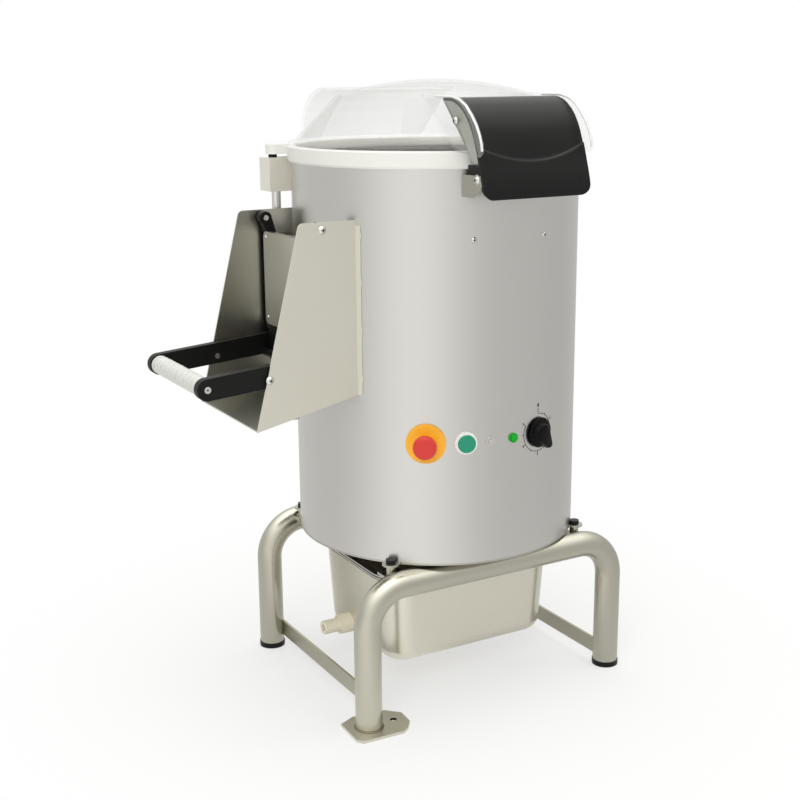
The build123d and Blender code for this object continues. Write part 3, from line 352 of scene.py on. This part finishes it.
# The hood of the lid, as it is moulded: a curved skin with a shallow scoop for the fingers, whose
# lower edge is a U shaped ledge that faces up and catches the light.
HOOD_LINE = [(-168, 907), (-190, 906.5), (-203, 903), (-214, 897.5), (-228, 886), (-240, 871),
             (-248, 856), (-255, 839), (-261, 821), (-266, 806), (-270, 791), (-271.5, 781),
             (-270, 775)]
HOOD_HALF = 88.0
HOOD_SKIN = 4.0
HOOD_CORNER = 16.0        # rounding of the two lower corners
HOOD_RIM = 0.7            # rounding of all its edges
LEDGE_END = 846.5         # height of the ledge at the sides of the hood
LEDGE_DROP = 21.0         # how much lower it is in the middle
LEDGE_BRIM = 0.8          # length over which the scoop breaks into the ledge
LEDGE_FORM = [(0.0, 0.85), (1.4, 0.15)]     # length past the ledge, share of the scoop's depth
LEDGE_RUN = 2.2           # length past the ledge where the outline is reached again
SCOOP = 3.0               # depth of the scoop at the ledge
SCOOP_FADE = 0.45         # share of that depth which is gone at the sides
SCOOP_RUN = 52.0          # over this length it fades out upward
SCOOP_ROWS, FOOT_ROWS = 36, 20          # rows of points above and below the ledge
HALF_COLUMNS = 24         # columns of points from the middle to one side
HUB = [(-262, 816), (-214, 819), (-214, 806), (-229, 796), (-234, 788), (-243, 786), (-268, 783),
       (-269, 795), (-266, 806)]
HUB_IN, HUB_OUT = 66.0, 76.7
hood_at = [0.0]
for (ya, za), (yb, zb) in zip(HOOD_LINE, HOOD_LINE[1:]):
    hood_at.append(hood_at[-1] + math.hypot(yb - ya, zb - za))


def hood_run(t):
    # smooth curve through the outline, t is the length run from its upper end
    i = max(k for k in range(len(hood_at) - 1) if hood_at[k] <= t or k == 0)
    span = hood_at[i + 1] - hood_at[i]
    u = (t - hood_at[i]) / span
    out = []
    for axis in (0, 1):
        p = [point[axis] for point in HOOD_LINE]
        slopes = []
        for j in (i, i + 1):
            low, high = max(j - 1, 0), min(j + 1, len(p) - 1)
            slopes.append((p[high] - p[low]) / (hood_at[high] - hood_at[low]) * span)
        out.append((2 * u ** 3 - 3 * u ** 2 + 1) * p[i] + (u ** 3 - 2 * u ** 2 + u) * slopes[0]
                   + (3 * u ** 2 - 2 * u ** 3) * p[i + 1] + (u ** 3 - u ** 2) * slopes[1])
    return Vector(out)


def hood_point(x, t, inward):
    # a point of the skin at one x and length run, moved in from the outline across its direction
    ahead, behind = min(t + 0.5, hood_at[-1]), max(t - 0.5, 0.0)
    run = (hood_run(ahead) - hood_run(behind)).normalized()
    here = hood_run(t)
    return (x, here.x - run.y * inward, here.y + run.x * inward)


def hood_length_at(height):
    # length run at which the outline has come down to that height, by halving
    low, high = 0.0, hood_at[-1]
    for _ in range(40):
        middle = (low + high) / 2
        if hood_run(middle).y > height:
            low = middle
        else:
            high = middle
    return low


def hood_column(x):
    # closed loop of points at one x: down the outer face, over the edge, up the inner face
    share = (x / HOOD_HALF) ** 2
    ledge = hood_length_at(LEDGE_END - LEDGE_DROP * (1 - share))
    over = max(abs(x) - (HOOD_HALF - HOOD_CORNER), 0.0)
    lift = HOOD_CORNER - math.sqrt(HOOD_CORNER ** 2 - min(over, HOOD_CORNER) ** 2)
    foot = hood_length_at(HOOD_LINE[-1][1] + lift) if lift > 0.05 else hood_at[-1]
    depth = SCOOP * (1 - SCOOP_FADE * share)
    above = [ledge * k / SCOOP_ROWS for k in range(SCOOP_ROWS)] + [ledge - LEDGE_BRIM]
    rows = []
    for t in above:
        s = min(max((t - ledge + SCOOP_RUN) / SCOOP_RUN, 0.0), 1.0)
        rows.append((t, depth * s * s * (3 - 2 * s)))
    rows += [(ledge + past, depth * part) for past, part in LEDGE_FORM]
    rows += [(ledge + LEDGE_RUN + (foot - ledge - LEDGE_RUN) * k / FOOT_ROWS, 0.0)
             for k in range(FOOT_ROWS + 1)]
    outer = [hood_point(x, t, d) for t, d in rows]
    inner = [hood_point(x, t, HOOD_SKIN) for t, d in reversed(rows)]
    return outer + inner


columns = [HOOD_HALF * math.sin(math.pi / 2 * k / HALF_COLUMNS)
           for k in range(-HALF_COLUMNS, HALF_COLUMNS + 1)]
hood_solids = [skinned([hood_column(x) for x in columns])]
for side in (-1, 1):
    hood_solids.append(skinned([[(side * x, y, z) for y, z in HUB] for x in (HUB_IN, HUB_OUT)]))
hood = piece("hood_moulding", *joined(*hood_solids), black_abs, "lid", "black_plastic")
hood_edge = hood.modifiers.new("rounded_rim", "BEVEL")
hood_edge.width = HOOD_RIM * MM
hood_edge.segments = 2
hood_edge.limit_method = "ANGLE"
hood_edge.angle_limit = math.radians(65)
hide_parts("hinge_block")

# Polished edges of the lid's cheeks beside the hood, as beads of painted light
CHEEK_EDGE = [(-150, 909), (-195, 909), (-213, 905.2), (-229, 897.4), (-243.5, 884.8), (-254.4, 873),
              (-262.3, 860.2), (-267.2, 848.6), (-268.3, 839.5)]
CHEEK_MIDDLE = 90.0
CHEEK_BEAD = 1.7
cheek_beads = [bead([(side * CHEEK_MIDDLE, y, z) for y, z in CHEEK_EDGE], CHEEK_BEAD)
               for side in (-1, 1)]
piece("cheek_edges", *joined(*cheek_beads), sheet_edge, "lid", "clear_plastic")

# Spun stainless collar inside the rim ring, seen through the lid as a band that darkens to the
# sides. Its profile is given as radius and height.
COLLAR = [(210.9, 823.0), (210.9, 835.0), (210.4, 835.6), (210.2, 835.0), (210.2, 823.0)]
COLLAR_SIDES = 120
piece("ring_collar", *turned(COLLAR, COLLAR_SIDES), collar_steel, "machine", "brushed_stainless")

# Rolled edges of the pan's rim, and below each edge a thin dark band of painted shade: the upper one in the
# groove between the edges, the lower one under the lower edge
PAN_HALF_X, PAN_HALF_Y = 162.5, 132.5
PAN_CORNER = 50.0
CORNER_STEPS = 12         # steps of each quarter turn
RIM_BEAD = 1.2
RIM_INSET = 0.5
RIM_EDGES = (202.9, 198.9)              # heights of the two edges
# heights of the two dark bands of painted shade
RIM_GROOVES = ((199.9, 201.9), (196.6, 198.0))
GROOVE_IN, GROOVE_OUT = -0.6, 0.2       # the bands' faces, from the pan's outline


def rim_line(z, outward=-RIM_INSET):
    # the pan's outline at one height, with round corners
    points = []
    for quarter, (sx, sy) in enumerate(((1, 1), (-1, 1), (-1, -1), (1, -1))):
        cx, cy = sx * (PAN_HALF_X - PAN_CORNER), sy * (PAN_HALF_Y - PAN_CORNER)
        for k in range(CORNER_STEPS + 1):
            a = math.radians(90 * quarter + 90 * k / CORNER_STEPS)
            r = PAN_CORNER + outward
            points.append((cx + r * math.cos(a), cy + r * math.sin(a), z))
    return points


rim_beads = [bead(rim_line(z), RIM_BEAD, closed=True) for z in RIM_EDGES]
piece("pan_rim_edges", *joined(*rim_beads), bright_steel, "collecting_pan", "pan_stainless")
# dark bands of painted shade, each a thin ring between two heights
grooves = []
for low, high in RIM_GROOVES:
    loops = [rim_line(low, GROOVE_IN), rim_line(low, GROOVE_OUT),
             rim_line(high, GROOVE_OUT), rim_line(high, GROOVE_IN)]
    grooves.append(skinned([list(ring) for ring in zip(*loops)], closed=True))
piece("pan_rim_shade_bands", *joined(*grooves), groove_steel, "collecting_pan", "pan_stainless")

# White sleeve pushed over the lever's cross bar: soft rings, one each 14.7 mm
GRIP_X, GRIP_Z = -420.0, 526.0
GRIP_HALF = 88.0
GRIP_R = 14.0
GRIP_SIDES = 40
GRIP_STEPS = 144
GRIP_END = 1.2            # length of the rounding at each end
GRIP_END_FALL = 0.7       # how far that rounding falls for each millimetre
RING_PITCH = 14.7
RING_DEPTH = 0.9
sleeve_rings = []
for k in range(GRIP_STEPS + 1):
    y = -GRIP_HALF + 2 * GRIP_HALF * k / GRIP_STEPS
    inset = GRIP_HALF - abs(y)
    ring = 0.5 + 0.5 * math.cos(2 * math.pi * y / RING_PITCH)
    end = (GRIP_END - inset if inset < GRIP_END else 0.0) * GRIP_END_FALL
    radius = GRIP_R - RING_DEPTH * (1 - ring ** 3) - end
    sleeve_rings.append([(GRIP_X + radius * math.cos(t), y, GRIP_Z + radius * math.sin(t))
                         for t in turns(GRIP_SIDES)])
sleeve = piece("grip_sleeve", *skinned(sleeve_rings), white_sleeve, "lever", "white_plastic")
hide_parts("lever_grip")

# Timer knob: a thin round skirt and a drop shaped handle that points down to the right
CASING_R = 218.0
DIAL_AZ = 13.0
DIAL_Z = 426.0
KNOB_GAP = 2.3            # lift of the skirt above the casing
POINTER = -54.0           # direction of the tip at rest, from sideways toward up
SKIRT_SIDES = 64
# radius and lift of each ring of the skirt
SKIRT = [(21.8, 0.0), (22.6, 0.5), (22.6, 1.8), (21.6, 2.9), (18.5, 3.6)]
# radius, reach of the tip, radius of the tip and lift of each ring of the handle
HANDLE = [(15.6, 26.2, 5.6, 2.8), (14.8, 25.5, 5.2, 5.5), (13.6, 24.6, 4.8, 8.6), (12.8, 24.0, 4.3, 9.7),
          (11.4, 23.0, 3.5, 10.3)]
dial_out, dial_side = facing(DIAL_AZ)


def on_dial(u, v, lift):
    # u sideways, v up, in the flat plane of the dial
    p = dial_out * (CASING_R + lift) + dial_side * u
    return (p.x, p.y, DIAL_Z + v)


def drop(radius, reach, tip, lift):
    # circle drawn out to a round tip: the tip's arc, then the large arc back round
    half = math.acos((radius - tip) / reach)
    tip_turns = [half * (k / 4 - 1) for k in range(9)]
    points = [(reach + tip * math.cos(a), tip * math.sin(a)) for a in tip_turns]
    sweep = 2 * (math.pi - half)
    back_turns = [half + sweep * k / 30 for k in range(31)]
    points += [(radius * math.cos(a), radius * math.sin(a)) for a in back_turns]
    aim = math.radians(POINTER)
    return [on_dial(u * math.cos(aim) - v * math.sin(aim), u * math.sin(aim) + v * math.cos(aim), lift)
            for u, v in points]


skirt_rings = [[on_dial(radius * math.cos(t), radius * math.sin(t), KNOB_GAP + lift)
                for t in turns(SKIRT_SIDES)] for radius, lift in SKIRT]
handle_rings = [drop(radius, reach, tip, KNOB_GAP + lift) for radius, reach, tip, lift in HANDLE]
knob = piece("timer_pointer_knob", *joined(skinned(skirt_rings), skinned(handle_rings)), black_knob,
             "timer_dial", "black_plastic")
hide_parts("timer_knob")

# Printed timer scale on the casing: arc, ticks and plain numbers, as thin ink
INK_LOW, INK_TOP = 0.02, 0.14
SCALE_R = 28.0
SCALE_SHIFT = -1.5        # the print sits a little left of the knob
LINE_W = 0.9
LAST_NUMBER = 5
STEP = 60                 # degrees from one number to the next
ARC_STEP = 5              # degrees of one patch of the arc
ZERO_TICK, TICK, HALF_TICK = 8.5, 4.2, 2.4      # their lengths
TICK_HALF = 0.8           # half a tick's width, in degrees
ZERO_SIZE, DIGIT_SIZE = 7.5, 5.0
ZERO_WEIGHT, DIGIT_WEIGHT = 0.3, 0.15           # how much bolder the strokes are drawn
ZERO_AT, DIGIT_AT = 41.0, 33.8                  # radius of their middles


def on_casing(u, v, lift):
    # u along the wall and v upward, from the dial's centre
    a = math.radians(DIAL_AZ) + (u + SCALE_SHIFT) / CASING_R
    r = CASING_R + lift
    return (r * math.sin(a), -r * math.cos(a), DIAL_Z + v)


def clockwise(r, deg):
    # sideways and up of a point at that radius, the angle counted clockwise from the top
    a = math.radians(deg)
    return r * math.sin(a), r * math.cos(a)


def stroke(r0, r1, d0, d1):
    # a patch of ink between two radii and two angles
    row = [clockwise(r0, d0), clockwise(r1, d0), clockwise(r1, d1), clockwise(r0, d1)]
    return skinned([[on_casing(u, v, lift) for u, v in row] for lift in (INK_LOW, INK_TOP)])


arc = [stroke(SCALE_R, SCALE_R + LINE_W, ARC_STEP * k, ARC_STEP * (k + 1))
       for k in range(LAST_NUMBER * STEP // ARC_STEP)]
ticks = []
for k in range(2 * LAST_NUMBER + 1):
    length = ZERO_TICK if k == 0 else (TICK if k % 2 == 0 else HALF_TICK)
    middle = STEP / 2 * k
    ticks.append(stroke(SCALE_R + LINE_W, SCALE_R + LINE_W + length, middle - TICK_HALF, middle + TICK_HALF))
piece("timer_scale", *joined(*arc, *ticks), ink, "machine", "black_plastic")

for number in range(LAST_NUMBER + 1):
    curve = bpy.data.curves.new("digit_curve", "FONT")
    curve.body = str(number)
    curve.size = ZERO_SIZE if number == 0 else DIGIT_SIZE
    curve.offset = ZERO_WEIGHT if number == 0 else DIGIT_WEIGHT
    curve.align_x = "CENTER"
    curve.align_y = "CENTER"
    curve.resolution_u = 2
    holder = bpy.data.objects.new("digit_holder", curve)
    scene.collection.objects.link(holder)
    bpy.context.view_layer.update()
    flat = bpy.data.meshes.new_from_object(holder)
    bpy.data.objects.remove(holder)
    cu, cv = clockwise(ZERO_AT if number == 0 else DIGIT_AT, STEP * number)
    digit_verts = [on_casing(v.co.x + cu, v.co.y + cv, INK_TOP) for v in flat.vertices]
    digit_faces = [tuple(face.vertices) for face in flat.polygons]
    piece("timer_digit_%d" % number, digit_verts, digit_faces, ink, "machine", "black_plastic")
    bpy.data.meshes.remove(flat)

# Weld bead round the nearest leg, on its foot plate
LEG = (-219.5, -172.5)
TUBE_R = 20.0
PLATE_TOP = 4.0
FOOT_BEAD = 1.6
BEAD_OUT, BEAD_UP = 0.5, 0.4            # from the tube's wall and from the plate
LEG_SIDES = 48
bead_at = TUBE_R + BEAD_OUT
leg_ring = [(LEG[0] + bead_at * math.cos(a), LEG[1] + bead_at * math.sin(a), PLATE_TOP + BEAD_UP)
            for a in turns(LEG_SIDES)]
piece("foot_weld", *bead(leg_ring, FOOT_BEAD, closed=True), weld_steel, "machine", "stand_stainless")

# Raw laser cut wall of the foot plate's anchor hole, in the deep shade finish: painted shade of the hole,
# over the dark scale of the cut
HOLE = (-178.0, -172.0)
HOLE_R = 4.97
HOLE_SKIN = 0.3
HOLE_LOW, HOLE_TOP = 0.1, PLATE_TOP - 0.05
HOLE_SIDES = 32
hole_wall = [(HOLE_R, HOLE_LOW), (HOLE_R, HOLE_TOP), (HOLE_R - HOLE_SKIN, HOLE_TOP),
             (HOLE_R - HOLE_SKIN, HOLE_LOW)]
piece("anchor_hole_wall", *turned(hole_wall, HOLE_SIDES, *HOLE), recess, "machine", "stand_stainless")

# Tack welds along the chute's flanges
FLANGE_EDGE = 30.6        # degrees from the chute's axis to the outer edge of its flanges
TACK_HEIGHTS = (515, 585, 655, 720)
TACK_LENGTH = 9.0
TACK_BEAD = 0.9
TACK_OUT = 0.6            # from the casing to the middle of a tack
tacks = []
for side in (-1, 1):
    a = math.radians(FLANGE_EDGE)
    x, y = -(CASING_R + TACK_OUT) * math.cos(a), side * (CASING_R + TACK_OUT) * math.sin(a)
    for z in TACK_HEIGHTS:
        tacks.append(bead([(x, y, z + TACK_LENGTH * (k / 4 - 0.5)) for k in range(5)], TACK_BEAD))
piece("chute_welds", *joined(*tacks), pale_sheet, "machine", "brushed_stainless")

# Upright seam where the rolled drive housing is welded
SEAM_AZ = -96.0
SEAM_LOW, SEAM_TOP = 244.0, 479.0
SEAM_HALF = 1.3
SEAM_PROUD = 0.15
SEAM_SUNK = 0.3           # how deep its foot lies in the casing
seam_out, seam_side = facing(SEAM_AZ)
seam_form = [(-SEAM_HALF, -SEAM_SUNK), (SEAM_HALF, -SEAM_SUNK), (SEAM_HALF * 0.6, SEAM_PROUD),
             (-SEAM_HALF * 0.6, SEAM_PROUD)]
seam_rings = []
for z in (SEAM_LOW, SEAM_TOP):
    rows = [seam_out * (CASING_R + lift) + seam_side * u for u, lift in seam_form]
    seam_rings.append([(p.x, p.y, z) for p in rows])
piece("housing_seam", *skinned(seam_rings), casing_steel, "machine", "brushed_stainless")


# Cross recesses of the screws, as dark crosses let into their heads: painted shade of the recesses
def cross(centre, normal, length, width, depth, proud=0.04):
    normal = Vector(normal).normalized()
    second = normal.cross(UP)
    bars = []
    for u, v in ((UP, second), (second, UP)):
        rings = []
        for lift in (-depth, proud):
            base = Vector(centre) + normal * lift
            rings.append([tuple(base + u * (length / 2 * a) + v * (width / 2 * b))
                          for a, b in ((-1, -1), (1, -1), (1, 1), (-1, 1))])
        bars.append(skinned(rings))
    return joined(*bars)


DOOR_PIVOT = (-244.5, 731.0)
LEVER_PIVOT = (-330.0, 529.0)
PLATE_FACE = 105.0
HEAD = 3.5                # height of the pivot screws' heads
LID_SCREW = (95.0, -206.0, 877.5)
HINGE_PIN = (84.6, -243.0, 800.5)
GRIP_SCREW_Y = 100.6
CASING_SCREW_AZ = (-16.8, 14.1)
CASING_SCREW_Z = 716.0
CASING_HEAD = 2.2
# length, width and depth of each kind of cross
PIVOT_CROSS = (4.6, 1.2, 0.8)
LID_CROSS = (4.2, 1.1, 0.8)
HINGE_CROSS = (4.4, 1.1, 0.8)
GRIP_CROSS = (3.9, 0.9, 0.4)
CASING_CROSS = (3.4, 1.0, 0.6)
pivot_marks = []
lid_marks = []
hinge_marks = []
grip_marks = []
for side in (-1, 1):
    for x, z in (DOOR_PIVOT, LEVER_PIVOT):
        pivot_marks.append(cross((x, side * (PLATE_FACE + HEAD), z), (0, side, 0), *PIVOT_CROSS))
    lid_marks.append(cross((side * LID_SCREW[0], *LID_SCREW[1:]), (side, 0, 0), *LID_CROSS))
    hinge_marks.append(cross((side * HINGE_PIN[0], *HINGE_PIN[1:]), (side, 0, 0), *HINGE_CROSS))
    grip_marks.append(cross((GRIP_X, side * GRIP_SCREW_Y, GRIP_Z), (0, side, 0), *GRIP_CROSS, proud=0.0))
casing_marks = []
for azimuth in CASING_SCREW_AZ:
    outward = facing(azimuth)[0]
    at = outward * (CASING_R + CASING_HEAD)
    casing_marks.append(cross((at.x, at.y, CASING_SCREW_Z), outward, *CASING_CROSS))
piece("pivot_screw_recesses", *joined(*pivot_marks), recess, "machine", "black_plastic")
piece("hinge_screw_recesses", *joined(*hinge_marks), recess, "machine", "black_plastic")
piece("casing_screw_recesses", *joined(*casing_marks), recess, "machine", "black_plastic")
piece("lid_screw_recesses", *joined(*lid_marks), recess, "lid", "black_plastic")
piece("grip_screw_recesses", *joined(*grip_marks), recess, "lever", "black_plastic")

# The studio. How bright it is round the machine, by azimuth from the control panel toward +X:
# the large softbox stood at the front left, and the right side was the darkest.
ROOM_BASE = 0.76
ROOM_LOBES = [(-48, 4, 0.47), (-165, 2, 0.05), (90, 4, -0.07)]     # azimuth, sharpness, strength added
ROOM_TOP = 2.3            # added strength straight overhead, where a softbox hung
ROOM_TOP_SHARPNESS = 3.0
ROOM_COLOUR = "#FCFBF8"
FILL_COLOUR = "#F6F5F3"
FILL_STRENGTH = 0.54      # even light of the room on matt surfaces
FLOOR_SIZE = 40           # metres
FLOOR_DROP = 0.0005       # metres below the feet, so that no face coincides
FADE_FROM, FADE_TO = 0.20, 0.90         # metres from the middle, where the shadow fades out
FADE_NEAR = 0.55          # share of white backdrop in the floor before it fades
PURE_WHITE = (1, 1, 1, 1)


def room_strength(tree, direction):
    # brightness of the studio in a direction: its base and the lobes, each a power of a cosine
    flat = add(tree, "ShaderNodeVectorMath", {"operation": "MULTIPLY"}, {1: (1, 1, 0)}, {0: direction})
    unit = add(tree, "ShaderNodeVectorMath", {"operation": "NORMALIZE"}, links={0: flat.outputs[0]})
    total = add(tree, "ShaderNodeValue")
    total.outputs[0].default_value = ROOM_BASE
    for azimuth, power, gain in ROOM_LOBES:
        outward = facing(azimuth)[0]
        dot = add(tree, "ShaderNodeVectorMath", {"operation": "DOT_PRODUCT"}, {1: outward},
                  {0: unit.outputs[0]})
        half = add(tree, "ShaderNodeMath", {"operation": "MAXIMUM"}, {1: 0.0}, {0: dot.outputs["Value"]})
        lobe = add(tree, "ShaderNodeMath", {"operation": "POWER"}, {1: power}, {0: half.outputs[0]})
        total = add(tree, "ShaderNodeMath", {"operation": "MULTIPLY_ADD"}, {1: gain},
                    {0: lobe.outputs[0], 2: total.outputs[0]})
    return total.outputs[0]


# The floor keeps the shadow near the feet and runs out into the white backdrop further away. In
# reflections its far part is as bright as the studio on that side.
floor_mat, tree, shader = new_material("studio_floor", Base_Color=linear("#F9F9F7"), Roughness=0.9)
rays = add(tree, "ShaderNodeLightPath")
seen = add(tree, "ShaderNodeMath", {"operation": "MAXIMUM"},
           links={0: rays.outputs["Is Camera Ray"], 1: rays.outputs["Is Glossy Ray"]})
seen = add(tree, "ShaderNodeMath", {"operation": "MAXIMUM"},
           links={0: seen.outputs[0], 1: rays.outputs["Is Transmission Ray"]})
place = add(tree, "ShaderNodeTexCoord")
reach = add(tree, "ShaderNodeVectorMath", {"operation": "LENGTH"}, links={0: place.outputs["Object"]})
fade = add(tree, "ShaderNodeMapRange", {"interpolation_type": "SMOOTHSTEP"},
           {"From Min": FADE_FROM, "From Max": FADE_TO, "To Min": FADE_NEAR, "To Max": 1.0},
           {"Value": reach.outputs["Value"]})
share = add(tree, "ShaderNodeMath", {"operation": "MULTIPLY"},
            links={0: seen.outputs[0], 1: fade.outputs["Result"]})
backdrop = add(tree, "ShaderNodeEmission", inputs={"Color": PURE_WHITE, "Strength": 1.0})
mirrored = add(tree, "ShaderNodeEmission", inputs={"Color": linear(ROOM_COLOUR)},
               links={"Strength": room_strength(tree, place.outputs["Object"])})
glow = add(tree, "ShaderNodeMixShader",
           links={0: rays.outputs["Is Glossy Ray"], 1: backdrop.outputs[0], 2: mirrored.outputs[0]})
blend = add(tree, "ShaderNodeMixShader",
            links={0: share.outputs[0], 1: shader.outputs["BSDF"], 2: glow.outputs[0]})
tree.links.new(blend.outputs[0], tree.nodes["Material Output"].inputs["Surface"])
bpy.ops.mesh.primitive_plane_add(size=FLOOR_SIZE, location=(0, 0, -FLOOR_DROP))
floor = bpy.context.object
floor.name = "studio_floor"
floor.data.materials.append(floor_mat)

# The surround is white to the camera and through the lid, the pale room to glossy rays, and an
# even fill to the rest.
world = bpy.data.worlds.new("studio_world")
scene.world = world
world.use_nodes = True
sky = world.node_tree
sky.nodes.clear()
rays = add(sky, "ShaderNodeLightPath")
look = add(sky, "ShaderNodeTexCoord")
clear_way = add(sky, "ShaderNodeMath", {"operation": "MAXIMUM"},
                links={0: rays.outputs["Is Camera Ray"], 1: rays.outputs["Is Transmission Ray"]})
soft = add(sky, "ShaderNodeBackground", inputs={"Color": linear(FILL_COLOUR), "Strength": FILL_STRENGTH})
height = add(sky, "ShaderNodeSeparateXYZ", links={0: look.outputs["Generated"]})
rise = add(sky, "ShaderNodeMath", {"operation": "MAXIMUM"}, {1: 0.0}, {0: height.outputs["Z"]})
dome = add(sky, "ShaderNodeMath", {"operation": "POWER"}, {1: ROOM_TOP_SHARPNESS}, {0: rise.outputs[0]})
overall = add(sky, "ShaderNodeMath", {"operation": "MULTIPLY_ADD"}, {1: ROOM_TOP},
              {0: dome.outputs[0], 2: room_strength(sky, look.outputs["Generated"])})
room = add(sky, "ShaderNodeBackground", inputs={"Color": linear(ROOM_COLOUR)},
           links={"Strength": overall.outputs[0]})
white = add(sky, "ShaderNodeBackground", inputs={"Color": PURE_WHITE, "Strength": 1.0})
lit = add(sky, "ShaderNodeMixShader",
          links={0: rays.outputs["Is Glossy Ray"], 1: soft.outputs[0], 2: room.outputs[0]})
pick = add(sky, "ShaderNodeMixShader",
           links={0: clear_way.outputs[0], 1: lit.outputs[0], 2: white.outputs[0]})
add(sky, "ShaderNodeOutputWorld", links={"Surface": pick.outputs[0]})


def lamp(name, stands_at, aims_at, width, height, watts):
    # a rectangular softbox, in metres, that isn't seen in reflections
    data = bpy.data.lights.new(name, "AREA")
    data.shape = "RECTANGLE"
    data.size = width
    data.size_y = height
    data.energy = watts
    obj = bpy.data.objects.new(name, data)
    scene.collection.objects.link(obj)
    obj.location = stands_at
    obj.rotation_euler = (Vector(aims_at) - Vector(stands_at)).to_track_quat("-Z", "Y").to_euler()
    obj.visible_glossy = False


lamp("front_left_lamp", (-1.9, -2.2, 2.0), (0, 0, 0.5), 1.6, 2.0, 36)
lamp("right_lamp", (2.6, -1.4, 1.6), (0, 0, 0.5), 1.4, 2.0, 12)
lamp("top_lamp", (0.1, 0.1, 3.0), (0, 0, 0.6), 2.6, 2.6, 42)

# Camera of the photograph, as fitted to the drum, the stand and the rim
CAM_PLACE = Vector((-1.0392, -1.7155, 0.9432))
CAM_TURN = math.radians(31.207)
CAM_DOWN = math.radians(14.2049)
CAM_YAW = math.radians(-1.5909)
CAM_ROLL = math.radians(-0.5062)
FOCAL_PIXELS, PICTURE_PIXELS = 1301.15, 800     # focal length and width of the picture
SENSOR = 36.0
level_ahead = Vector((math.sin(CAM_TURN), math.cos(CAM_TURN), 0))
level_right = Vector((math.cos(CAM_TURN), -math.sin(CAM_TURN), 0))
turned_ahead = level_ahead * math.cos(CAM_YAW) + level_right * math.sin(CAM_YAW)
turned_right = level_right * math.cos(CAM_YAW) - level_ahead * math.sin(CAM_YAW)
view_ahead = turned_ahead * math.cos(CAM_DOWN) - UP * math.sin(CAM_DOWN)
view_up = UP * math.cos(CAM_DOWN) + turned_ahead * math.sin(CAM_DOWN)
rolled_right = turned_right * math.cos(CAM_ROLL) + view_up * math.sin(CAM_ROLL)
rolled_up = view_up * math.cos(CAM_ROLL) - turned_right * math.sin(CAM_ROLL)
cam_data = bpy.data.cameras.new("photo_camera")
cam_data.sensor_width = SENSOR
cam_data.lens = SENSOR * (FOCAL_PIXELS / PICTURE_PIXELS)
camera = bpy.data.objects.new("photo_camera", cam_data)
scene.collection.objects.link(camera)
turn = Matrix((rolled_right, rolled_up, -view_ahead)).transposed().to_4x4()
camera.matrix_world = Matrix.Translation(CAM_PLACE) @ turn
scene.camera = camera

scene.view_settings.view_transform = "Standard"
